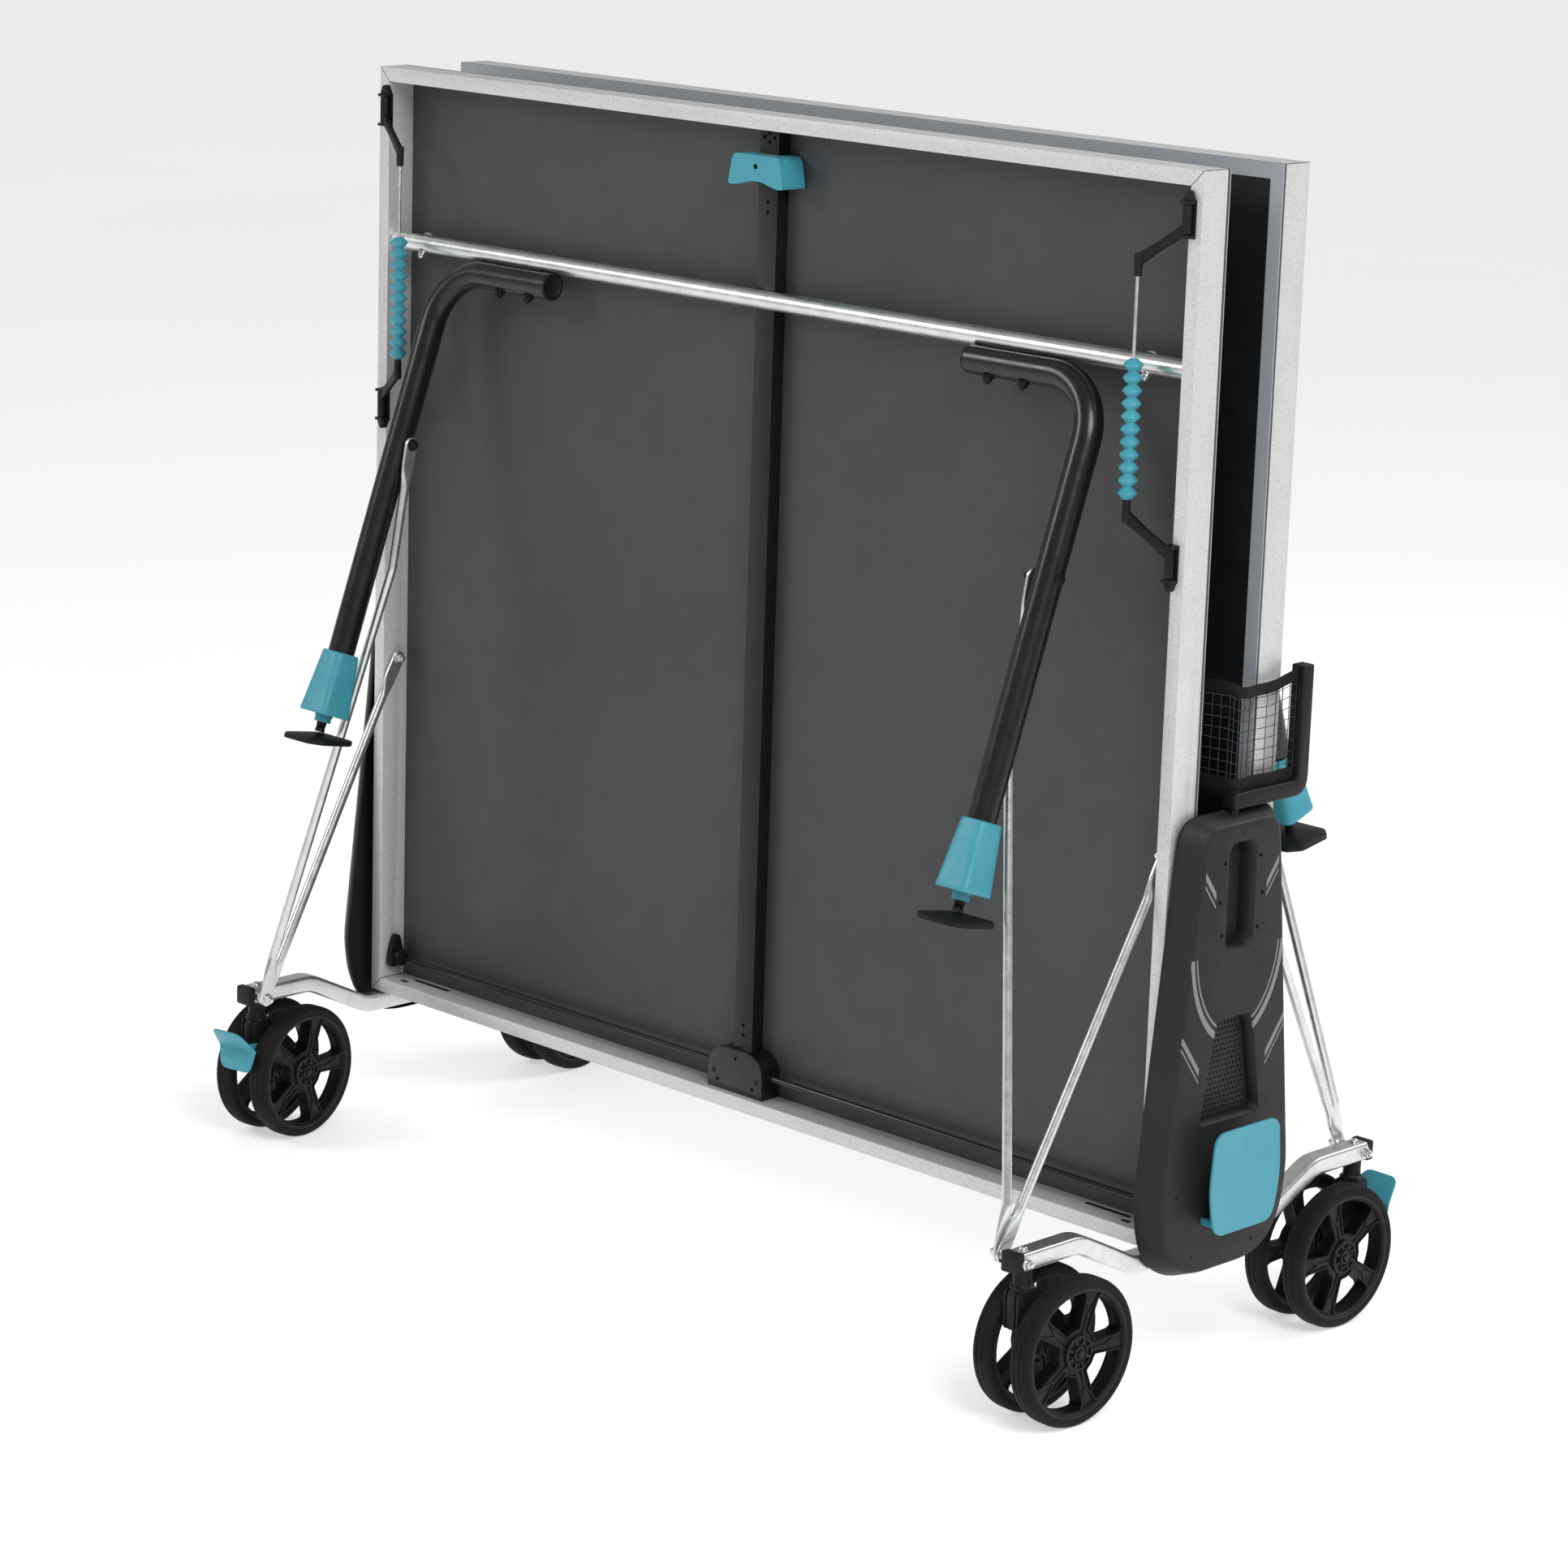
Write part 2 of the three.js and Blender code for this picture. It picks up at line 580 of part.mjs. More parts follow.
// A strut between two pivots: flat eyes of plate at its ends and a round bar between them. The eyes lie
// in planes of constant X, so a strut whose ends have different X is bent near each of them.
function strut(from, to, highBendAt = STRUT_EYE_LENGTH) {
  const along = new THREE.Vector3(0, to.y - from.y, to.z - from.z).normalize();
  const lowBend = from.clone().addScaledVector(along, STRUT_EYE_LENGTH + STRUT_DIAMETER);
  const highBend = to.clone().addScaledVector(along, -highBendAt);
  const offset = Math.abs(from.x - to.x);
  const corners = offset > 1
    ? [from, lowBend, highBend, to].map((p) => p.clone())
    : [from.clone(), to.clone()];
  const inset = along.clone().multiplyScalar(STRUT_EYE_LENGTH - STRUT_DIAMETER / 2);
  corners[0].add(inset);
  corners[corners.length - 1].sub(inset);
  const bar = sweep(circle(STRUT_DIAMETER / 2), new BentRun(corners, STRUT_DIAMETER, 2), 3);
  const lean = Math.atan2(along.y, along.z);
  const eyes = [[from, 1], [to, -1]].map(([pivot, way]) => {
    const half = STRUT_EYE_WIDTH / 2;
    const tip = way * (STRUT_EYE_LENGTH + 8);
    const shape = new THREE.Shape();
    shape.absarc(0, 0, half, way > 0 ? Math.PI : 0, way > 0 ? 2 * Math.PI : Math.PI, false);
    shape.lineTo(way * STRUT_DIAMETER / 2, tip);
    shape.lineTo(-way * STRUT_DIAMETER / 2, tip);
    shape.closePath();
    const plate = slab(shape, STRUT_EYE_THICKNESS, 'yz', -STRUT_EYE_THICKNESS / 2, 4);
    return plate.rotateX(-lean).translate(pivot.x, pivot.y, pivot.z);
  });
  return carve([bar, ...eyes]);
}

const apronStrutLowX = tubeInnerX - STRUT_SPACER - STRUT_EYE_THICKNESS / 2;
const apronStrutHighX = apronInnerX - GAP - STRUT_DIAMETER / 2;
const legStrutLowX = apronStrutLowX - STRUT_EYE_THICKNESS - GAP;

function apronStrut(side) {
  return strut(
    new THREE.Vector3(side * apronStrutLowX, carriagePivot.y, carriagePivot.z),
    new THREE.Vector3(side * apronStrutHighX, apronPivot.y, apronPivot.z),
  );
}

function legStrut(side) {
  const low = new THREE.Vector3(side * legStrutLowX, carriagePivot.y, carriagePivot.z);
  const high = onLeg(side, legPivotReach);
  high.x = side * (legX - LEG_DIAMETER / 2 - GAP - STRUT_DIAMETER / 2);
  const strutLean = Math.atan2(high.y - low.y, high.z - low.z);
  const clearOfLeg = (LEG_DIAMETER + STRUT_DIAMETER) / 2 / Math.sin(Math.abs(strutLean - legLean));
  return strut(low, high, clearOfLeg + LEG_STRUT_SPARE);
}

// ---------------------------------------------------------------- score counters

const counterHinge = {
  x: apronInnerX + 2,
  y: apronOuterY - COUNTER_HINGE / 2 - 1,
  top: storeTop - COUNTER_TOP_FROM_EDGE,
};
const counterRodX = counterHinge.x - COUNTER_OFFSET_X;
const counterRodY = counterHinge.y - COUNTER_OFFSET_Y;

function counterFrame(side) {
  const bottom = counterHinge.top - COUNTER_SPAN;
  const armTop = counterHinge.top - COUNTER_ARM_RISE;
  const armBottom = bottom + COUNTER_ARM_RISE;
  const bodies = [barZ(COUNTER_ROD, armBottom - 4, armTop + 4, side * counterRodX, counterRodY, 10)];
  for (const [hinge, elbow] of [[counterHinge.top, armTop], [bottom, armBottom]]) {
    bodies.push(barZ(COUNTER_HINGE, hinge - 18, hinge + 18, side * counterHinge.x, counterHinge.y, 12));
    const way = Math.sign(elbow - hinge);
    const arm = new ConvexGeometry([
      ...knuckle(side * counterHinge.x, counterHinge.y, hinge + way * 4, way * COUNTER_ARM_WIDTH),
      ...knuckle(side * counterRodX, counterRodY, elbow - way * COUNTER_ARM_WIDTH, way * COUNTER_ARM_WIDTH),
    ]);
    bodies.push(arm);
    bodies.push(barZ(11, elbow - way * COUNTER_ARM_WIDTH, elbow + way * 12, side * counterRodX, counterRodY, 12));
  }
  return carve(bodies);
}

// Eight corners of a small upright block around an arm's end.
function knuckle(x, y, z, height) {
  const half = 4;
  const corners = [];
  for (const dx of [-half, half]) {
    for (const dy of [-half, half]) {
      corners.push(new THREE.Vector3(x + dx, y + dy, z), new THREE.Vector3(x + dx, y + dy, z + height));
    }
  }
  return corners;
}

function counterBeads(side) {
  const bottom = counterHinge.top - COUNTER_SPAN + COUNTER_ARM_RISE + 12 + 2 * GAP;
  const bore = COUNTER_ROD / 2 + RUNNING;
  const profile = [new THREE.Vector2(bore, 0), new THREE.Vector2(BEAD_WAIST / 2, 0)];
  for (let i = 0; i < BEAD_COUNT; i += 1) {
    const middle = (i + 0.5) * BEAD_PITCH;
    profile.push(new THREE.Vector2(BEAD_DIAMETER / 2, middle - BEAD_PITCH * 0.12));
    profile.push(new THREE.Vector2(BEAD_DIAMETER / 2, middle + BEAD_PITCH * 0.12));
    profile.push(new THREE.Vector2(BEAD_WAIST / 2, (i + 1) * BEAD_PITCH));
  }
  profile.push(new THREE.Vector2(bore, BEAD_COUNT * BEAD_PITCH), profile[0].clone());
  const stack = new THREE.LatheGeometry(profile, 10);
  return stack.rotateX(Math.PI / 2).translate(side * counterRodX, counterRodY, bottom);
}

function buildHalf(name) {
  const half = new THREE.Group();
  part(half, `table_top_${name}`, tableTop(), 'laminate');
  part(half, `apron_frame_${name}`, apronFrame(), 'silverPaint');
  part(half, `centre_beam_${name}`, centreBeam(), 'blackPaint');
  part(half, `guide_rod_${name}`, guideRod(), 'blackPaint');
  part(half, `release_handle_${name}`, releaseHandle(), 'tealPlastic');
  part(half, `leg_axle_${name}`, legAxle(), 'galvanised');
  for (const side of [-1, 1]) {
    const facing = name === 'front' ? side : -side;
    const suffix = `${name}_${facing < 0 ? 'left' : 'right'}`;
    part(half, `leg_${suffix}`, leg(side), 'blackPaint');
    part(half, `foot_shroud_${suffix}`, footShroud(side), 'tealPlastic');
    part(half, `foot_pad_${suffix}`, footPad(side), 'blackPlastic');
    part(half, `apron_strut_${suffix}`, apronStrut(side), 'galvanised');
    part(half, `leg_strut_${suffix}`, legStrut(side), 'galvanised');
    if (name === 'front') {
      part(half, `counter_frame_${facing < 0 ? 'left' : 'right'}`, counterFrame(side), 'blackPlastic');
      part(half, `counter_beads_${facing < 0 ? 'left' : 'right'}`, counterBeads(side), 'tealPlastic');
    }
  }
  return half;
}

// ---------------------------------------------------------------- carriage

function carriageTube(side) {
  const x = side * tubeX;
  const corners = [
    [-tubeEndY, TUBE_END_HEIGHT], [-rampOuterY, TUBE_END_HEIGHT],
    [-rampInnerY, TUBE_MID_HEIGHT], [rampInnerY, TUBE_MID_HEIGHT],
    [rampOuterY, TUBE_END_HEIGHT], [tubeEndY, TUBE_END_HEIGHT],
  ].map(([y, z]) => new THREE.Vector3(x, y, z));
  const section = rectangle(TUBE_HEIGHT, TUBE_WIDTH);
  section.holes.push(rectangle(TUBE_HEIGHT - 2 * TUBE_WALL, TUBE_WIDTH - 2 * TUBE_WALL));
  return sweep(section, new BentRun(corners, TUBE_BEND_RADIUS, 4));
}

function crossbar() {
  const section = rectangle(CROSSBAR_WIDTH, TUBE_HEIGHT);
  section.holes.push(rectangle(CROSSBAR_WIDTH - 2 * TUBE_WALL, TUBE_HEIGHT - 2 * TUBE_WALL));
  const length = 2 * (tubeInnerX - GAP);
  return slab(section, length, 'yz', -length / 2).translate(0, 0, TUBE_MID_HEIGHT);
}

// The housing's outline at one depth, drawn in (y, z), standing in from its back edge by an inset.
function housingOutline(inset) {
  const low = HOUSING_LOW_WIDTH / 2 - inset;
  const high = HOUSING_HIGH_WIDTH / 2 - inset;
  const bottom = HOUSING_BOTTOM + inset * 0.5;
  const top = HOUSING_TOP - inset * 0.6;
  const shoulder = HOUSING_BOTTOM + HOUSING_SHOULDER;
  return outline([
    [-low * 0.88, bottom, HOUSING_LOW_ROUND], [low * 0.88, bottom, HOUSING_LOW_ROUND],
    [low, shoulder, 22], [high, top, HOUSING_HIGH_ROUND], [-high, top, HOUSING_HIGH_ROUND],
    [-low, shoulder, 22],
  ]);
}

function housingLoft(side, back, front, backInset, frontInset) {
  const rings = [[back, backInset], [front, frontInset]].map(([x, inset]) => housingOutline(inset)
    .getPoints(4).map((p) => new THREE.Vector3(side * x, p.x, p.y)));
  return new ConvexGeometry(rings.flat());
}

function endHousing(side) {
  const flange = 5; // the back edge runs straight before the shell tapers
  const outer = housingLoft(side, housingBack + flange - GAP, housingFront, 0, HOUSING_TAPER);
  const rim = housingLoft(side, housingBack, housingBack + flange, 0, 0);
  const hollow = housingLoft(side, housingBack - 1, housingFront - HOUSING_WALL,
    HOUSING_WALL, HOUSING_TAPER + HOUSING_WALL);
  const slotHalf = BALL_SLOT_WIDTH / 2;
  const slotLow = BALL_SLOT_MIDDLE - BALL_SLOT_HEIGHT / 2;
  const slotHigh = BALL_SLOT_MIDDLE + BALL_SLOT_HEIGHT / 2;
  const chuteBack = housingFront - CHUTE_DEPTH;
  const slotShape = (grow) => outline([
    [-slotHalf - grow, slotLow - grow, 12], [slotHalf + grow, slotLow - grow, 12],
    [slotHalf + grow, slotHigh + grow, 12], [-slotHalf - grow, slotHigh + grow, 12],
  ]);
  const grilleShape = (grow) => outline([
    [-GRILLE_BOTTOM_WIDTH / 2 - grow, GRILLE_BOTTOM - grow, 8],
    [GRILLE_BOTTOM_WIDTH / 2 + grow, GRILLE_BOTTOM - grow, 8],
    [GRILLE_TOP_WIDTH / 2 + grow, GRILLE_TOP + grow, 8],
    [-GRILLE_TOP_WIDTH / 2 - grow, GRILLE_TOP + grow, 8],
  ]);
  const across = (shape, x0, x1) => slab(shape, x1 - x0, 'yz', x0, 3);
  const span = (x0, x1) => (side > 0 ? [x0, x1] : [-x1, -x0]);
  const chute = across(slotShape(HOUSING_WALL), ...span(chuteBack - HOUSING_WALL, housingFront - 1));
  const slot = across(slotShape(0), ...span(chuteBack, housingFront + 1));
  const grilleBack = housingFront - GRILLE_DEPTH;
  const pan = across(grilleShape(HOUSING_WALL), ...span(grilleBack - HOUSING_WALL, housingFront - 1));
  const recess = across(grilleShape(0), ...span(grilleBack, housingFront + 1));
  const pinHole = barZ(POST_PIN + 2 * RUNNING, HOUSING_TOP - 30, HOUSING_TOP + 5, side * postX, 0);
  const shell = solid(outer).add(solid(rim)).subtract(solid(hollow)).add(solid(chute)).add(solid(pan));
  return fromSolid(shell.subtract(solid(slot)).subtract(solid(recess)).subtract(solid(pinHole)));
}

function batHolder(side) {
  const half = BAT_PLATE_WIDTH / 2;
  const top = BAT_PLATE_BOTTOM + BAT_PLATE_HEIGHT;
  const face = outline([
    [-half + 12, BAT_PLATE_BOTTOM, 14], [half - 12, BAT_PLATE_BOTTOM, 14], [half, BAT_PLATE_BOTTOM + 60, 20],
    [half - 8, top, 16], [-half + 8, top, 16], [-half, BAT_PLATE_BOTTOM + 60, 20],
  ]);
  const plateX = housingFront + GAP + BAT_GAP;
  const span = (x0, x1) => (side > 0 ? [x0, x1] : [-x1, -x0]);
  const [plateStart] = span(plateX, plateX + BAT_PLATE_THICKNESS);
  const plate = slab(face, BAT_PLATE_THICKNESS, 'yz', plateStart, 3);
  const [x0, x1] = span(housingFront + GAP, plateX + 1);
  const shelfHalf = BAT_SHELF_WIDTH / 2;
  const shelfTop = BAT_PLATE_BOTTOM + BAT_SHELF_HEIGHT;
  const shelf = box(x0, x1, -shelfHalf, shelfHalf, BAT_PLATE_BOTTOM + 6, shelfTop);
  return carve([plate, shelf]);
}

// The post's arm and upright lie along +Y in storage, swung back from the net's own line.
function netPost(side) {
  const near = -POST_SECTION / 2;
  const far = postReach;
  const armTop = POST_ARM_BOTTOM + POST_SECTION;
  const face = outline([
    [near, POST_ARM_BOTTOM], [far, POST_ARM_BOTTOM, POST_CORNER], [far, postTop],
    [far - POST_SECTION, postTop], [far - POST_SECTION, armTop, 6], [near, armTop],
  ]);
  const frame = slab(face, POST_SECTION, 'yz', side * postX - POST_SECTION / 2);
  const pin = barZ(POST_PIN, HOUSING_TOP - 25, POST_ARM_BOTTOM + 1, side * postX, 0);
  return carve([frame, pin]);
}

// The net hangs slack in storage: its top edge dips between the table's ends.
function net() {
  const end = postX - POST_SECTION * Math.SQRT1_2 - 2 * GAP; // clear of the post's corner as it swings
  const bottom = PLAY_HEIGHT + NET_BOTTOM_GAP;
  const top = PLAY_HEIGHT + NET_HEIGHT;
  const steps = 12;
  const corners = [[-end, bottom], [end, bottom]];
  for (let i = 0; i <= steps; i += 1) {
    const x = end - (2 * end * i) / steps;
    corners.push([x, top - NET_SAG * (1 - (x / end) ** 4)]);
  }
  return slab(outline(corners), NET_THICKNESS, 'xz', NET_THICKNESS / 2);
}

// ---------------------------------------------------------------- casters

// A caster's own frame: its swivel axis is the Z axis and it trails towards +Y.
function wheel(x) {
  const radius = WHEEL_DIAMETER / 2;
  const inner = radius - WHEEL_RIM;
  const hub = WHEEL_HUB / 2;
  const disc = outline(arc(radius, 0, 2 * Math.PI, 32).slice(1));
  const share = Math.PI / WHEEL_SPOKES;
  const atRim = share - WHEEL_SPOKE / 2 / inner;
  const atHub = share - WHEEL_SPOKE / 2 / hub;
  for (let i = 0; i < WHEEL_SPOKES; i += 1) {
    const middle = Math.PI / 2 + (2 * i + 1) * share;
    disc.holes.push(outline([
      ...arc(inner, middle - atRim, middle + atRim, 5),
      ...arc(hub, middle + atHub, middle - atHub, 2),
    ]));
  }
  disc.holes.push(outline(arc(WHEEL_AXLE / 2 + RUNNING, 0, 2 * Math.PI, 16).slice(1)));
  const tyre = slab(disc, WHEEL_WIDTH, 'yz', x - WHEEL_WIDTH / 2);
  return tyre.translate(0, CASTER_TRAIL, radius);
}

function casterFork() {
  const radius = WHEEL_DIAMETER / 2;
  const stemTop = TUBE_END_HEIGHT - TUBE_HEIGHT / 2 - GAP;
  const bodyTop = WHEEL_DIAMETER - 3;
  const stem = barZ(FORK_STEM, bodyTop - 40, stemTop, 0, 0);
  const profile = outline([
    [-19, bodyTop - 62, 8], [-19, bodyTop - 8, 8], [17, bodyTop - 8, 8], [CASTER_TRAIL + 16, radius + 30, 14],
    [CASTER_TRAIL + 16, radius - 16, 12], [CASTER_TRAIL - 16, radius - 16, 12],
  ]);
  const body = slab(profile, FORK_WIDTH, 'yz', -FORK_WIDTH / 2, 3);
  const reach = (WHEEL_PITCH + WHEEL_WIDTH) / 2 + 2;
  const pin = barX(WHEEL_AXLE, -reach, reach, CASTER_TRAIL, radius, { sides: 12 });
  return carve([stem, body, pin]);
}

// The pedal is a folded plate: a smooth upper wing and a ribbed lower wing, hinged by two ears that
// reach in between the fork and the wheels.
function brakePedal() {
  const t = PEDAL_THICKNESS;
  const wing = (half, tipHalf, from, to) => {
    const way = new THREE.Vector2(to[0] - from[0], to[1] - from[1]);
    const face = outline([[-half, 0], [half, 0], [tipHalf, way.length(), 11], [-tipHalf, way.length(), 11]]);
    const plate = slab(face, t, 'xy', -t / 2, 3);
    const lean = Math.atan2(way.y, way.x);
    return plate.rotateX(lean).translate(0, from[0], from[1]);
  };
  const upper = wing(PEDAL_WIDTH / 2, PEDAL_UPPER_WIDTH / 2, PEDAL_FOLD, PEDAL_TOP);
  const lower = wing(PEDAL_WIDTH / 2, PEDAL_LOWER_WIDTH / 2, PEDAL_FOLD, PEDAL_BOTTOM);
  const fold = barX(t, -PEDAL_WIDTH / 2, PEDAL_WIDTH / 2, PEDAL_FOLD[0], PEDAL_FOLD[1], { sides: 8 });
  const ears = [-1, 1].map((side) => {
    const shape = outline([
      [PEDAL_FOLD[0], PEDAL_FOLD[1] - 9], [PEDAL_PIVOT[0] + 5, PEDAL_PIVOT[1] - 5, 3],
      [PEDAL_PIVOT[0] + 5, PEDAL_PIVOT[1] + 5, 3], [PEDAL_FOLD[0], PEDAL_FOLD[1] + 7],
    ]);
    const start = side * (FORK_WIDTH / 2 + 0.5 + PEDAL_EAR / 2) - PEDAL_EAR / 2;
    return slab(shape, PEDAL_EAR, 'yz', start, 2);
  });
  return carve([upper, lower, fold, ...ears]);
}

function buildCaster(corner) {
  const [end, side] = corner.split('_');
  const caster = new THREE.Group();
  const sideSign = side === 'left' ? -1 : 1;
  const endSign = end === 'front' ? -1 : 1;
  const turned = end === 'front' ? 0 : Math.PI;
  caster.position.set(sideSign * tubeX, endSign * casterY, 0);
  caster.rotation.z = turned + THREE.MathUtils.degToRad(CASTER_HEADINGS[corner]);
  const braked = BRAKED.includes(corner);
  part(caster, `caster_fork_${corner}`, casterFork(), 'blackPlastic');
  for (const place of [-1, 1]) {
    const worldSide = end === 'front' ? place : -place;
    const where = worldSide === sideSign ? 'outer' : 'inner';
    part(caster, `wheel_${corner}_${where}`, wheel((place * WHEEL_PITCH) / 2), 'blackPlastic');
  }
  if (braked) part(caster, `brake_pedal_${corner}`, brakePedal(), 'tealPlastic');
  return caster;
}

// ---------------------------------------------------------------- assembly

const group = new THREE.Group();
group.add(buildHalf('front'));
const rear = buildHalf('rear');
rear.rotation.z = Math.PI;
group.add(rear);

part(group, 'carriage_crossbar', crossbar(), 'galvanised');
part(group, 'net', net(), 'netFabric');
for (const side of [-1, 1]) {
  const name = side < 0 ? 'left' : 'right';
  part(group, `carriage_tube_${name}`, carriageTube(side), 'galvanised');
  part(group, `end_housing_${name}`, endHousing(side), 'charcoalPlastic');
  part(group, `bat_holder_${name}`, batHolder(side), 'tealPlastic');
  part(group, `net_post_${name}`, netPost(side), 'blackPlastic');
}
for (const corner of Object.keys(CASTER_HEADINGS)) group.add(buildCaster(corner));

export default group;
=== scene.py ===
"""Looks of a folding outdoor table-tennis table, standing in its storage position on four casters."""

import logging
import math
from dataclasses import dataclass
from enum import Enum
from typing import Callable, Iterable, Sequence

import bpy
from mathutils import Matrix, Vector


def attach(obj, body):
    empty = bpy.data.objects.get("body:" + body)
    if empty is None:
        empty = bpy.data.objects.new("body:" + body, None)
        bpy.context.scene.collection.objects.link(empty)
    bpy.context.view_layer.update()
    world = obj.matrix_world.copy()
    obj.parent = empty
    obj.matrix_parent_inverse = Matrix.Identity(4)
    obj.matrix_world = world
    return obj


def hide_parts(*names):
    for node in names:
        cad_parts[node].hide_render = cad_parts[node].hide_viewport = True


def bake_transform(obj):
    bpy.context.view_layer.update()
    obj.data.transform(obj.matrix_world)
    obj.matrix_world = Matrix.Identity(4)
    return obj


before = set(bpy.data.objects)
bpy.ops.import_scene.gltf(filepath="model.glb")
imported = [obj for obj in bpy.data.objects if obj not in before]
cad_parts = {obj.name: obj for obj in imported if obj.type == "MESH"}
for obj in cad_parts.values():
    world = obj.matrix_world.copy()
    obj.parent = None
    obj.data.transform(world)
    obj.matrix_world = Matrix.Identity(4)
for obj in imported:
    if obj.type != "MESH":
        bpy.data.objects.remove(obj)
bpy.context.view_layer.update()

log = logging.getLogger("table")

MM = 0.001
Point2 = tuple[float, float]
Point3 = tuple[float, float, float]
Colour = tuple[float, float, float, float]
HALF_TURN = Matrix.Rotation(math.pi, 4, "Z")
OFF_AXIS = Vector((0, 0.9, 0.44))  # no tube of the table runs this way
MERGE = 2e-6  # metres between vertices that count as one
CAD_MERGE = 2e-5  # the same for a CAD node's loose triangles
FLAT_DEGREES = 0.6  # neighbouring CAD triangles flatter than this become one face
SHARP_DEGREES = 50  # edges of drawn plates and turned pieces sharper than this are rounded
SIDES = (("left", -1), ("right", 1))
TABLE_SIDE = 0.7625  # metres from the middle of the table to its side
STORED_TOP = 1.555  # metres from the floor to the outer edge of a stored half


# ------------------------------------------------------------------ shapes


def rounded(corners: Sequence[tuple[float, ...]], steps: int = 6) -> list[Point2]:
    """Rounds the corners of an outline.

    Args:
        corners: (u, v) or (u, v, setback) in order round the outline; the setback is how far from the
            corner the rounding starts.
        steps: Chords in one rounded corner.

    Returns:
        The outline's points in the same order.
    """
    points: list[Point2] = []
    for i, corner in enumerate(corners):
        here = Vector(corner[:2])
        setback = corner[2] if len(corner) > 2 else 0.0
        if setback <= 0:
            points.append((here.x, here.y))
            continue
        before = (Vector(corners[i - 1][:2]) - here).normalized() * setback + here
        after = (Vector(corners[(i + 1) % len(corners)][:2]) - here).normalized() * setback + here
        for step in range(steps + 1):
            t = step / steps
            point = before * (1 - t) ** 2 + here * 2 * t * (1 - t) + after * t * t
            points.append((point.x, point.y))
    return points


def bent(corners: Sequence[Vector], radius: float, steps: int = 8) -> list[Vector]:
    """Runs straight lines through the corners and rounds each inner corner with one arc.

    Args:
        corners: The ends and the corners of the run.
        radius: The bend radius, in the corners' unit.
        steps: Chords in one bend.

    Returns:
        Points along the run.
    """
    run = [corners[0].copy()]
    for before, here, after in zip(corners, corners[1:], corners[2:]):
        arriving = (here - before).normalized()
        leaving = (after - here).normalized()
        turn = arriving.angle(leaving)
        if turn < 1e-4:
            continue
        axis = arriving.cross(leaving).normalized()
        start = here - arriving * radius * math.tan(turn / 2)
        spoke = axis.cross(arriving) * radius
        for step in range(steps + 1):
            turned = Matrix.Rotation(turn * step / steps, 3, axis) @ -spoke
            run.append(start + spoke + turned)
    run.append(corners[-1].copy())
    return run


class Plane(Enum):
    """Where a drawn outline (u, v) and its depth lie."""

    XY = "xy"
    XZ = "xz"
    YZ = "yz"

    def matrix(self) -> Matrix:
        """The turn that takes (u, v, depth) to (x, y, z)."""
        rows = {
            Plane.XY: ((1, 0, 0), (0, 1, 0), (0, 0, 1)),
            Plane.XZ: ((1, 0, 0), (0, 0, -1), (0, 1, 0)),
            Plane.YZ: ((0, 0, 1), (1, 0, 0), (0, 1, 0)),
        }
        return Matrix(rows[self]).to_4x4()


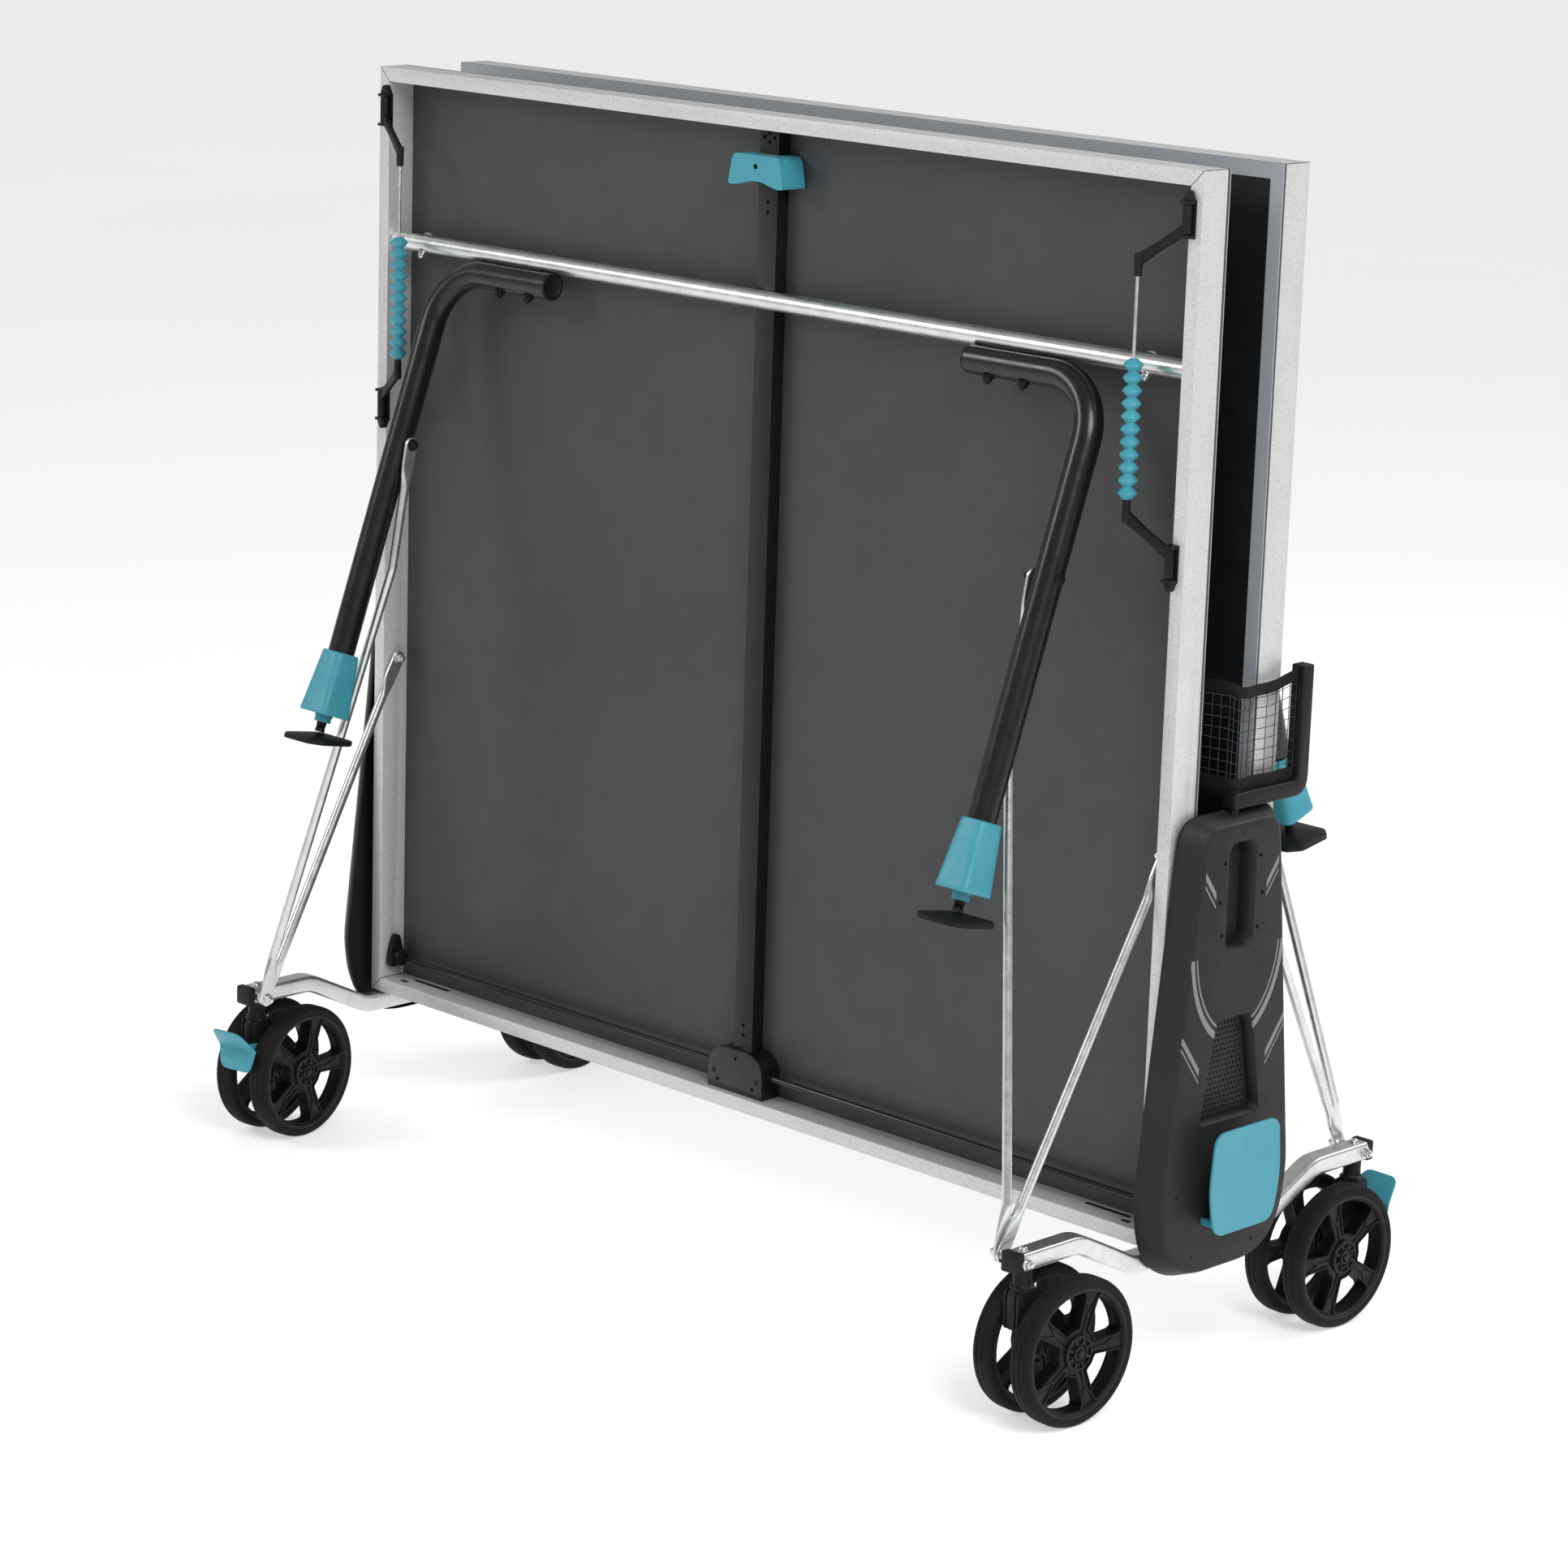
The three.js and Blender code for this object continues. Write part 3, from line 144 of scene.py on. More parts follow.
class Bench:
    """Makes and shapes meshes. Sizes and places are in millimetres."""

    @staticmethod
    def hold(*objects: bpy.types.Object) -> None:
        """Selects only these objects and makes the first one active."""
        if bpy.context.object and bpy.context.object.mode != "OBJECT":
            bpy.ops.object.mode_set(mode="OBJECT")
        bpy.ops.object.select_all(action="DESELECT")
        for obj in objects:
            obj.select_set(True)
        bpy.context.view_layer.objects.active = objects[0] if objects else None

    @staticmethod
    def edit(obj: bpy.types.Object, *steps: Callable[[], object]) -> bpy.types.Object:
        """Runs edit-mode steps on a piece that is selected all over.

        Args:
            obj: The piece.
            steps: Calls made in edit mode, in order.

        Returns:
            The same piece.
        """
        Bench.hold(obj)
        bpy.ops.object.mode_set(mode="EDIT")
        bpy.ops.mesh.select_all(action="SELECT")
        for step in steps:
            step()
        bpy.ops.object.mode_set(mode="OBJECT")
        return obj

    @staticmethod
    def settle(obj: bpy.types.Object, name: str) -> bpy.types.Object:
        """Names a new primitive and moves its place into its mesh."""
        obj.name = name
        obj.data.name = name
        Bench.hold(obj)
        bpy.ops.object.transform_apply(location=True, rotation=True, scale=True)
        return obj

    @staticmethod
    def outward(obj: bpy.types.Object) -> bpy.types.Object:
        """Merges doubled vertices and turns all faces outwards."""
        return Bench.edit(
            obj,
            lambda: bpy.ops.mesh.remove_doubles(threshold=MERGE),
            lambda: bpy.ops.mesh.normals_make_consistent(inside=False),
        )

    @staticmethod
    def modify(obj: bpy.types.Object, kind: str, **values: object) -> bpy.types.Object:
        """Adds a modifier with these values and applies it."""
        modifier = obj.modifiers.new(kind.title(), kind)
        for key, value in values.items():
            setattr(modifier, key, value)
        Bench.hold(obj)
        bpy.ops.object.modifier_apply(modifier=modifier.name)
        return obj

    @staticmethod
    def soften(
        obj: bpy.types.Object, width: float, segments: int = 2, angle: float = 32,
    ) -> bpy.types.Object:
        """Rounds the sharp edges of a piece and shades it smooth.

        Args:
            obj: The piece.
            width: Width of the rounding.
            segments: Chords across the rounding.
            angle: Edges sharper than this, in degrees, are rounded.

        Returns:
            The same piece.
        """
        if width > 0:
            Bench.modify(
                obj, "BEVEL", width=width * MM, segments=segments, limit_method="ANGLE",
                angle_limit=math.radians(angle), use_clamp_overlap=True, harden_normals=False,
            )
        return Bench.smooth(obj)

    @staticmethod
    def smooth(obj: bpy.types.Object, angle: float = 40) -> bpy.types.Object:
        """Shades a piece smooth, apart from edges sharper than an angle in degrees."""
        Bench.hold(obj)
        bpy.ops.object.shade_smooth_by_angle(angle=math.radians(angle))
        return obj

    @staticmethod
    def block(
        name: str, low: Point3, high: Point3, bevel: float = 0.8, segments: int = 2,
    ) -> bpy.types.Object:
        """A box between two corners with rounded edges."""
        middle = (Vector(low) + Vector(high)) / 2 * MM
        bpy.ops.object.select_all(action="DESELECT")
        bpy.ops.mesh.primitive_cube_add(size=1, location=middle)
        obj = bpy.context.object
        obj.scale = (Vector(high) - Vector(low)) * MM
        return Bench.soften(Bench.settle(obj, name), bevel, segments)

    @staticmethod
    def bar(
        name: str, start: Point3, end: Point3, diameter: float, sides: int = 24, bevel: float = 0.5,
        end_diameter: float | None = None,
    ) -> bpy.types.Object:
        """A round or many-sided bar between two places, with rounded rims.

        Args:
            name: Name of the piece.
            start: Middle of one end.
            end: Middle of the other end.
            diameter: Diameter across the corners at the start.
            sides: Faces round the bar.
            bevel: Width of the rounding at the rims.
            end_diameter: Diameter at the other end, where it differs.

        Returns:
            The bar.
        """
        way = Vector(end) - Vector(start)
        bpy.ops.object.select_all(action="DESELECT")
        bpy.ops.mesh.primitive_cone_add(
            vertices=sides, radius1=diameter / 2 * MM, radius2=(end_diameter or diameter) / 2 * MM,
            depth=way.length * MM, location=(Vector(start) + Vector(end)) / 2 * MM,
            rotation=way.to_track_quat("Z", "Y").to_euler(),
        )
        obj = Bench.settle(bpy.context.object, name)
        return Bench.soften(obj, bevel, 2, SHARP_DEGREES)

    @staticmethod
    def slab(
        name: str, outline: Sequence[Point2], plane: Plane, start: float, end: float, bevel: float = 0.8,
        segments: int = 2,
    ) -> bpy.types.Object:
        """A plate with a drawn outline.

        Args:
            name: Name of the piece.
            outline: Points (u, v) round the plate.
            plane: Which way the plate lies.
            start: Where its depth starts.
            end: Where its depth ends.
            bevel: Width of the rounding at its rims.
            segments: Chords across the rounding.

        Returns:
            The plate.
        """
        bpy.ops.object.select_all(action="DESELECT")
        bpy.ops.mesh.primitive_circle_add(vertices=len(outline), radius=1, fill_type="NGON")
        obj = bpy.context.object
        for vertex, (u, v) in zip(obj.data.vertices, outline):
            vertex.co = Vector((u, v, start)) * MM
        rise = {"value": (0, 0, (end - start) * MM)}
        Bench.edit(obj, lambda: bpy.ops.mesh.extrude_region_move(TRANSFORM_OT_translate=rise))
        Bench.settle(obj, name).data.transform(plane.matrix())
        Bench.outward(obj)
        return Bench.soften(obj, bevel, segments, SHARP_DEGREES)

    @staticmethod
    def turned(name: str, profile: Sequence[Point2], steps: int = 48) -> bpy.types.Object:
        """A turned piece about the Z axis.

        Args:
            name: Name of the piece.
            profile: (radius, height) along its section; a closed ring starts and ends at one point.
            steps: Faces round the piece.

        Returns:
            The piece, with its axis on Z.
        """
        mesh = bpy.data.meshes.new(name)
        points = [(radius * MM, 0, height * MM) for radius, height in profile]
        mesh.from_pydata(points, [(i, i + 1) for i in range(len(points) - 1)], [])
        obj = bpy.data.objects.new(name, mesh)
        bpy.context.scene.collection.objects.link(obj)
        Bench.edit(
            obj,
            lambda: bpy.ops.mesh.spin(steps=steps, angle=2 * math.pi, center=(0, 0, 0), axis=(0, 0, 1)),
        )
        return Bench.smooth(Bench.outward(obj), SHARP_DEGREES)

    @staticmethod
    def loft(
        name: str, rings: Sequence[Sequence[Vector]], closed: bool = True,
    ) -> bpy.types.Object:
        """A skin over rings of equally many points, with a face on its first and last ring.

        Args:
            name: Name of the piece.
            rings: The rings, in order.
            closed: Whether the end rings are filled.

        Returns:
            The piece.
        """
        count = len(rings[0])
        points = [point * MM for ring in rings for point in ring]
        faces: list[Sequence[int]] = []
        for row in range(len(rings) - 1):
            low, high = row * count, (row + 1) * count
            for i in range(count):
                j = (i + 1) % count
                faces.append((low + i, low + j, high + j, high + i))
        if closed:
            faces.append(range(count))
            faces.append(range((len(rings) - 1) * count, len(rings) * count))
        mesh = bpy.data.meshes.new(name)
        mesh.from_pydata(points, [], faces)
        obj = bpy.data.objects.new(name, mesh)
        bpy.context.scene.collection.objects.link(obj)
        return Bench.smooth(Bench.outward(obj))

    @staticmethod
    def tube(name: str, run: Sequence[Vector], diameter: float, sides: int = 32) -> bpy.types.Object:
        """A round tube along a run of points, closed at both ends."""
        rings = []
        for i, point in enumerate(run):
            before = run[max(i - 1, 0)]
            after = run[min(i + 1, len(run) - 1)]
            way = (after - before).normalized()
            across = way.cross(OFF_AXIS).normalized()
            up = way.cross(across)
            rings.append([
                point + (across * math.cos(a) + up * math.sin(a)) * diameter / 2
                for a in (2 * math.pi * k / sides for k in range(sides))
            ])
        return Bench.loft(name, rings)

    @staticmethod
    def cut(obj: bpy.types.Object, *cutters: bpy.types.Object) -> bpy.types.Object:
        """Cuts pieces out of a piece and removes them."""
        for cutter in cutters:
            Bench.modify(obj, "BOOLEAN", operation="DIFFERENCE", object=cutter, solver="EXACT")
            bpy.data.objects.remove(cutter)
        return obj

    @staticmethod
    def join(name: str, pieces: Iterable[bpy.types.Object]) -> bpy.types.Object:
        """Joins pieces of one finish into one object."""
        found = list(pieces)
        Bench.hold(*found)
        if len(found) > 1:
            bpy.ops.object.join()
        found[0].name = name
        found[0].data.name = name
        return found[0]

    @staticmethod
    def copy(obj: bpy.types.Object, name: str, matrix: Matrix) -> bpy.types.Object:
        """A copy with its own mesh, moved by a matrix whose lengths are in metres."""
        mesh = obj.data.copy()
        mesh.name = name
        mesh.transform(matrix)
        if matrix.determinant() < 0:
            mesh.flip_normals()
        made = bpy.data.objects.new(name, mesh)
        bpy.context.scene.collection.objects.link(made)
        return made

    @staticmethod
    def from_cad(
        node: str, name: str, bevel: float, segments: int = 2, angle: float = 32,
    ) -> bpy.types.Object:
        """A merged copy of a CAD node with rounded edges.

        Args:
            node: The CAD node.
            name: Name of the new piece.
            bevel: Width of the rounding.
            segments: Chords across the rounding.
            angle: Edges sharper than this, in degrees, are rounded.

        Returns:
            The new piece.
        """
        obj = Bench.copy(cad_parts[node], name, Matrix.Identity(4))
        obj.data.materials.clear()
        Bench.edit(
            obj,
            lambda: bpy.ops.mesh.remove_doubles(threshold=CAD_MERGE),
            lambda: bpy.ops.mesh.dissolve_limited(angle_limit=math.radians(FLAT_DEGREES)),
        )
        return Bench.soften(obj, bevel, segments, angle)


def at(x: float, y: float, z: float) -> Matrix:
    """A move in millimetres."""
    return Matrix.Translation(Vector((x, y, z)) * MM)


# ------------------------------------------------------------------ finishes


class Finish(Enum):
    """The finishes, each with the record's material slot it belongs to."""

    LAMINATE = "laminate"
    APRON = "apron_paint"
    BLACK_PAINT = "black_paint"
    ZINC = "galvanised"
    BOLT = "galvanised_bolt"
    CHARCOAL = "charcoal_plastic"
    TEAL = "teal_plastic"
    BLACK = "black_plastic"
    RUBBER = "wheel_rubber"
    CORD = "net_fabric"
    TAPE = "net_fabric_tape"
    # near-black discs that stand in for holes: painted shade
    HOLE = "hole_painted_shade"

    @property
    def slot(self) -> str:
        """The record's material slot."""
        extra = {
            Finish.BOLT: "galvanised", Finish.TAPE: "net_fabric", Finish.HOLE: "black_plastic",
        }
        return extra.get(self, self.value)


class Nodes:
    """One material's node tree, with short ways to add the nodes it needs."""

    def __init__(self, name: str) -> None:
        """Makes the material with its shader and its Object coordinates."""
        self.material = bpy.data.materials.new(name)
        self.material.use_nodes = True
        self.tree = self.material.node_tree
        self.shader = self.tree.nodes["Principled BSDF"]
        self.place = self.tree.nodes.new("ShaderNodeTexCoord").outputs["Object"]

    def add(self, kind: str, **inputs: object) -> bpy.types.Node:
        """Adds a node and gives its inputs.

        Args:
            kind: The node's type.
            inputs: Values or sockets by input name, with _ for a space, or by number as in i0;
                set_NAME sets a property.

        Returns:
            The node.
        """
        node = self.tree.nodes.new(kind)
        for key, value in inputs.items():
            if key.startswith("set_"):
                setattr(node, key[4:], value)
                continue
            by_number = key[0] == "i" and key[1:].isdigit()
            socket = node.inputs[int(key[1:]) if by_number else key.replace("_", " ")]
            if isinstance(value, bpy.types.NodeSocket):
                self.tree.links.new(value, socket)
            else:
                socket.default_value = value
        return node

    def noise(
        self, scale: float, detail: float = 3, stretch: Point3 = (1, 1, 1),
    ) -> bpy.types.NodeSocket:
        """A noise pattern, stretched along the axes."""
        mapping = self.add("ShaderNodeMapping", Vector=self.place, Scale=stretch)
        node = self.add(
            "ShaderNodeTexNoise", Vector=mapping.outputs[0], Scale=scale, Detail=detail, Roughness=0.6,
        )
        return node.outputs[0]

    def math(
        self, operation: str, first: object, second: object = 0.0, third: object = 0.0,
    ) -> bpy.types.NodeSocket:
        """One arithmetic step."""
        node = self.add("ShaderNodeMath", set_operation=operation, i0=first, i1=second, i2=third)
        return node.outputs[0]

    def spread(
        self, value: object, low: float, high: float, start: float = 0.3, end: float = 0.7,
    ) -> bpy.types.NodeSocket:
        """Maps a pattern's range onto low to high."""
        node = self.add(
            "ShaderNodeMapRange", Value=value, From_Min=start, From_Max=end, To_Min=low, To_Max=high,
        )
        return node.outputs[0]

    def blend(self, share: object, first: object, second: object) -> bpy.types.NodeSocket:
        """Mixes two colours."""
        node = self.add("ShaderNodeMix", set_data_type="RGBA", i0=share, i6=first, i7=second)
        return node.outputs[2]

    def axes(self) -> list[bpy.types.NodeSocket]:
        """The X, Y and Z places as three sockets."""
        return list(self.add("ShaderNodeSeparateXYZ", Vector=self.place).outputs)

    def set(self, **inputs: object) -> None:
        """Sets inputs of the shader."""
        for key, value in inputs.items():
            socket = self.shader.inputs[key.replace("_", " ")]
            if isinstance(value, bpy.types.NodeSocket):
                self.tree.links.new(value, socket)
            else:
                socket.default_value = value

    def bump(self, height: object, strength: float, depth: float) -> None:
        """Raises the surface by a pattern; depth is in millimetres."""
        node = self.add("ShaderNodeBump", Height=height, Strength=strength, Distance=depth * MM)
        self.tree.links.new(node.outputs[0], self.shader.inputs["Normal"])


def grey(value: float, warm: float = 0.0) -> Colour:
    """A linear grey, a little warmer where warm is above 0."""
    return (value * (1 + warm), value, value * (1 - warm), 1.0)


@dataclass(frozen=True)
class Grain:
    """A moulded or sprayed finish: one colour that varies, and a grain of its own size."""

    name: str
    dark: Colour
    light: Colour
    smooth: float
    rough: float
    metallic: float = 0.0
    grain_scale: float = 900.0
    grain_depth: float = 0.06
    grain_strength: float = 0.25
    coat: float = 0.0
    specular: float = 0.5

    def build(self) -> Nodes:
        """Makes the material."""
        nodes = Nodes(self.name)
        cloud = nodes.noise(9, 4)
        fine = nodes.noise(self.grain_scale, 2)
        worn = nodes.noise(45, 5)
        nodes.set(
            Base_Color=nodes.blend(nodes.spread(cloud, 0, 1), self.dark, self.light),
            Roughness=nodes.spread(worn, self.smooth, self.rough),
            Metallic=self.metallic,
            Specular_IOR_Level=self.specular,
            Coat_Weight=self.coat,
            Coat_Roughness=0.25,
        )
        nodes.bump(fine, self.grain_strength, self.grain_depth)
        return nodes


class Palette:
    """Builds each finish once."""

    GRAINS = {
        Finish.BLACK_PAINT: Grain(
            "satin_black_paint", grey(0.004, 0.06), grey(0.007, 0.05), 0.2, 0.32, grain_scale=600,
            grain_depth=0.02, coat=0.1, specular=0.4),
        Finish.CHARCOAL: Grain(
            "charcoal_moulding", grey(0.015), grey(0.020), 0.46, 0.58, grain_scale=1300, grain_depth=0.09,
            grain_strength=0.45, specular=0.22),
        Finish.TEAL: Grain(
            "teal_moulding", (0.047, 0.285, 0.37, 1), (0.062, 0.325, 0.41, 1), 0.36, 0.5, grain_scale=1000,
            grain_depth=0.05, specular=0.4),
        Finish.BLACK: Grain(
            "black_moulding", grey(0.006), grey(0.009), 0.4, 0.55, grain_scale=1100, grain_depth=0.07,
            grain_strength=0.4, specular=0.22),
        Finish.RUBBER: Grain(
            "tyre_rubber", grey(0.005, 0.04), grey(0.010, 0.05), 0.6, 0.78, grain_scale=420,
            grain_depth=0.15, grain_strength=0.5, specular=0.16),
        Finish.TAPE: Grain(
            "net_tape", grey(0.008), grey(0.014), 0.75, 0.9, grain_scale=700, grain_depth=0.2,
            grain_strength=0.6, specular=0.2),
        # near-black, for discs of painted shade that stand in for holes
        Finish.HOLE: Grain("shaded_hole", grey(0.001), grey(0.002), 0.85, 0.95, specular=0.1),
    }

    def __init__(self) -> None:
        """Starts with no finish made."""
        self.made: dict[Finish, bpy.types.Material] = {}

    def __getitem__(self, finish: Finish) -> bpy.types.Material:
        """The finish's material, made when it is first asked for."""
        if finish not in self.made:
            special = {
                Finish.LAMINATE: self.laminate, Finish.APRON: self.apron, Finish.ZINC: self.zinc,
                Finish.BOLT: self.bolt, Finish.CORD: self.cord, Finish.CHARCOAL: self.charcoal,
            }
            maker = special.get(finish)
            nodes = maker() if maker else self.GRAINS[finish].build()
            self.made[finish] = nodes.material
        return self.made[finish]

    @staticmethod
    def laminate() -> Nodes:
        """Grey back with a soft orange-peel, and a darker playing face with its pale border lines; the face
        is its own dark grey darkened further by painted shade, and the white lines are painted a shaded
        blue-grey.
        """
        nodes = Nodes("weatherproof_laminate")
        x, y, z = nodes.axes()
        cloud = nodes.noise(3.2, 5)
        share = nodes.spread(cloud, 0, 1)
        back = nodes.blend(share, (0.034, 0.0355, 0.038, 1), (0.044, 0.0455, 0.0475, 1))
        # the playing face: its own dark grey darkened further by painted shade from the gap between the
        # stored halves
        face = nodes.blend(share, (0.0045, 0.005, 0.006, 1), (0.007, 0.0075, 0.0085, 1))
        border, centre_line = 0.020, 0.0015  # width of a border line, half the centre line's
        side_line = TABLE_SIDE - border
        end_line = STORED_TOP - border
        face_depth = 0.0522  # the playing faces lie nearer than this to the middle of the table
        side = nodes.math("GREATER_THAN", nodes.math("ABSOLUTE", x), side_line)
        end = nodes.math("GREATER_THAN", z, end_line)
        centre = nodes.math("LESS_THAN", nodes.math("ABSOLUTE", x), centre_line)
        line = nodes.math("MAXIMUM", nodes.math("MAXIMUM", side, end), centre)
        # the white border and centre lines painted a shaded blue-grey: painted shade
        painted_shade_lined_face = nodes.blend(line, face, (0.33, 0.36, 0.39, 1))
        is_face = nodes.math("LESS_THAN", nodes.math("ABSOLUTE", y), face_depth)
        nodes.set(
            Base_Color=nodes.blend(is_face, back, painted_shade_lined_face),
            Roughness=nodes.spread(nodes.noise(30, 5), 0.42, 0.56),
            Specular_IOR_Level=0.45,
        )
        nodes.bump(nodes.noise(380, 3), 0.35, 0.08)
        return nodes

    @staticmethod
    def apron() -> Nodes:
        """Speckled silver powder coat with a dark hairline where the lengths meet at a mitre."""
        nodes = Nodes("speckled_silver_coat")
        x, _, z = nodes.axes()
        speckle = nodes.noise(1500, 2)
        cloud = nodes.noise(12, 4)
        base = nodes.blend(nodes.spread(cloud, 0, 1), grey(0.50, 0.004), grey(0.57, 0.004))
        speckled = nodes.blend(nodes.spread(speckle, 0, 0.8, 0.42, 0.66), base, grey(0.92))
        flecked = nodes.blend(nodes.spread(nodes.noise(1100, 1), 0, 0.75, 0.55, 0.72), speckled, grey(0.2))
        half_length, middle, hairline = 0.685, 0.87, 0.0008
        rise = nodes.math("ABSOLUTE", nodes.math("SUBTRACT", z, middle))
        across = nodes.math("SUBTRACT", TABLE_SIDE, nodes.math("ABSOLUTE", x))
        along = nodes.math("SUBTRACT", half_length, rise)
        apart = nodes.math("ABSOLUTE", nodes.math("SUBTRACT", across, along))
        joint = nodes.math("LESS_THAN", apart, hairline)
        nodes.set(
            Base_Color=nodes.blend(joint, flecked, grey(0.05)),
            Roughness=nodes.spread(speckle, 0.34, 0.5),
            Metallic=0.35,
        )
        nodes.bump(speckle, 0.3, 0.05)
        return nodes

    @staticmethod
    def zinc() -> Nodes:
        """Zinc plate with a soft cloud, drawing streaks and dulled patches."""
        nodes = Nodes("zinc_plate")
        cloud = nodes.noise(55, 5)
        patch = nodes.noise(16, 4)
        streak = nodes.noise(260, 3, (0.06, 1, 0.5))
        tone = nodes.blend(nodes.spread(cloud, 0, 1), (0.60, 0.62, 0.60, 1), (0.74, 0.76, 0.745, 1))
        nodes.set(
            Base_Color=nodes.blend(nodes.spread(patch, 0, 0.4, 0.5, 0.8), tone, (0.46, 0.47, 0.44, 1)),
            Roughness=nodes.math("ADD", nodes.spread(cloud, 0.22, 0.31), nodes.spread(streak, 0, 0.05)),
            Metallic=0.95,
        )
        nodes.bump(streak, 0.06, 0.01)
        return nodes

    @staticmethod
    def bolt() -> Nodes:
        """Bright plated fasteners."""
        return Grain(
            "plated_fastener", grey(0.55), grey(0.75), 0.18, 0.32, metallic=0.95, grain_scale=700,
            grain_depth=0.03).build()

    @staticmethod
    def cord() -> Nodes:
        """Twisted net cord: slanted lays of thread, coloured darker in the grooves and lighter on the lays
        as painted shade that follows the bump.
        """
        nodes = Nodes("net_cord")
        mapping = nodes.add("ShaderNodeMapping", Vector=nodes.place, Rotation=(0, math.radians(38), 0))
        lay = nodes.add(
            "ShaderNodeTexWave", Vector=mapping.outputs[0], Scale=420, Distortion=1.2, Detail=1,
        ).outputs[0]
        # the colour follows the same wave as the bump: painted shade in the grooves between the lays
        nodes.set(
            Base_Color=nodes.blend(nodes.spread(lay, 0, 1, 0, 1), grey(0.006), grey(0.022)),
            Roughness=nodes.spread(lay, 0.7, 0.9, 0, 1),
            Sheen_Weight=0.2,
        )
        nodes.bump(lay, 0.7, 0.25)
        return nodes

    def charcoal(self) -> Nodes:
        """Grained moulding with plain grey stripes printed on the outer faces of the end housings."""
        nodes = self.GRAINS[Finish.CHARCOAL].build()
        x, y, z = nodes.axes()
        plain = nodes.shader.inputs["Base Color"].links[0].from_socket
        outer = nodes.math("GREATER_THAN", nodes.math("ABSOLUTE", x), 0.7988)
        reach = nodes.math("ABSOLUTE", y)

        def window(value: bpy.types.NodeSocket, low: float, high: float) -> bpy.types.NodeSocket:
            """One where the value lies between low and high."""
            over = nodes.math("GREATER_THAN", value, low)
            return nodes.math("MULTIPLY", over, nodes.math("LESS_THAN", value, high))

        rise = nodes.math("SUBTRACT", z, 0.585)
        square = nodes.math("MULTIPLY", rise, rise)
        span = nodes.math("MULTIPLY_ADD", nodes.math("MULTIPLY", reach, reach), 2.2, square)
        radius = nodes.math("SQRT", span)
        arcs = nodes.math("MAXIMUM", window(radius, 0.118, 0.1215), window(radius, 0.127, 0.1365))
        under = nodes.math("MULTIPLY", arcs, nodes.math("LESS_THAN", z, 0.572))
        slope = nodes.math("MULTIPLY_ADD", reach, -1.35, z)
        fans = nodes.math("MAXIMUM", window(slope, 0.318, 0.3215), window(slope, 0.328, 0.338))
        low_band = nodes.math("MULTIPLY", fans, window(reach, 0.066, 0.104))
        upper = nodes.math("MAXIMUM", window(slope, 0.566, 0.570), window(slope, 0.577, 0.587))
        high_band = nodes.math("MULTIPLY", upper, window(reach, 0.05, 0.072))
        stripe = nodes.math("MAXIMUM", under, nodes.math("MAXIMUM", low_band, high_band))
        share = nodes.math("MULTIPLY", nodes.math("MULTIPLY", stripe, outer), 0.8)
        nodes.set(Base_Color=nodes.blend(share, plain, grey(0.26)))
        return nodes


PALETTE = Palette()


def place(
    obj: bpy.types.Object, body: str, finish: Finish, replaces: Sequence[str] = (),
) -> bpy.types.Object:
    """Gives a finished piece its finish and its body.

    Args:
        obj: The piece.
        body: The CAD body that it rides on.
        finish: Its finish.
        replaces: CAD nodes that it stands for.

    Returns:
        The same piece.
    """
    obj.data.materials.clear()
    obj.data.materials.append(PALETTE[finish])
    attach(obj, body)
    if replaces:
        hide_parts(*replaces)
    log.info("%s rides on %s", obj.name, body)
    return obj


def dress(node: str, finish: Finish) -> None:
    """Gives a kept CAD node its finish."""
    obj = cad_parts[node]
    obj.data.materials.clear()
    obj.data.materials.append(PALETTE[finish])
    log.info("%s is kept", node)


# ------------------------------------------------------------------ fasteners


@dataclass
class Fasteners:
    """Bolts, nuts and screws, each modelled once about the Z axis with its seat at the origin."""

    head: float = 13.0
    stud: float = 7.4
    screw_hole: float = 5.5

    def __post_init__(self) -> None:
        """Models the patterns."""
        self.dome = Bench.turned("dome_head", [
            (0, 5.2), (2.2, 5.0), (4.4, 4.1), (6.0, 2.4), (6.5, 0.9), (8.6, 0.8), (8.8, 0.0), (0, 0),
        ], 24)
        washer = Bench.bar("washer", (0, 0, 0), (0, 0, 1.4), self.head + 4, 24, 0.3)
        nut = Bench.bar("nut", (0, 0, 1.4), (0, 0, 7.2), self.head, 6, 0.7)
        stud = Bench.bar("stud", (0, 0, 6), (0, 0, 10.5), self.stud, 16, 0.9)
        self.nut = Bench.join("nut_pattern", [washer, nut, stud])
        self.small = Bench.turned("screw_rim", [
            (0, -0.4), (1.2, -0.4), (1.7, 0.9), (3.3, 0.9), (4.0, 0.1), (4.0, -0.6), (0, -0.6),
        ], 20)
        # a thin near-black disc proud of a surface: painted shade standing in for a hole
        self.hole = Bench.bar("hole_pattern", (0, 0, -0.5), (0, 0, 0.18), self.screw_hole, 16, 0)

    def put(
        self, pattern: bpy.types.Object, name: str, where: Point3, way: Point3,
    ) -> bpy.types.Object:
        """A copy of a pattern with its seat at a place and its head pointing one way."""
        turn = Vector(way).to_track_quat("Z", "Y").to_matrix().to_4x4()
        return Bench.copy(pattern, name, at(*where) @ turn)

    def clear(self) -> None:
        """Removes the patterns."""
        for obj in (self.dome, self.nut, self.small, self.hole):
            bpy.data.objects.remove(obj)


# ------------------------------------------------------------------ one half


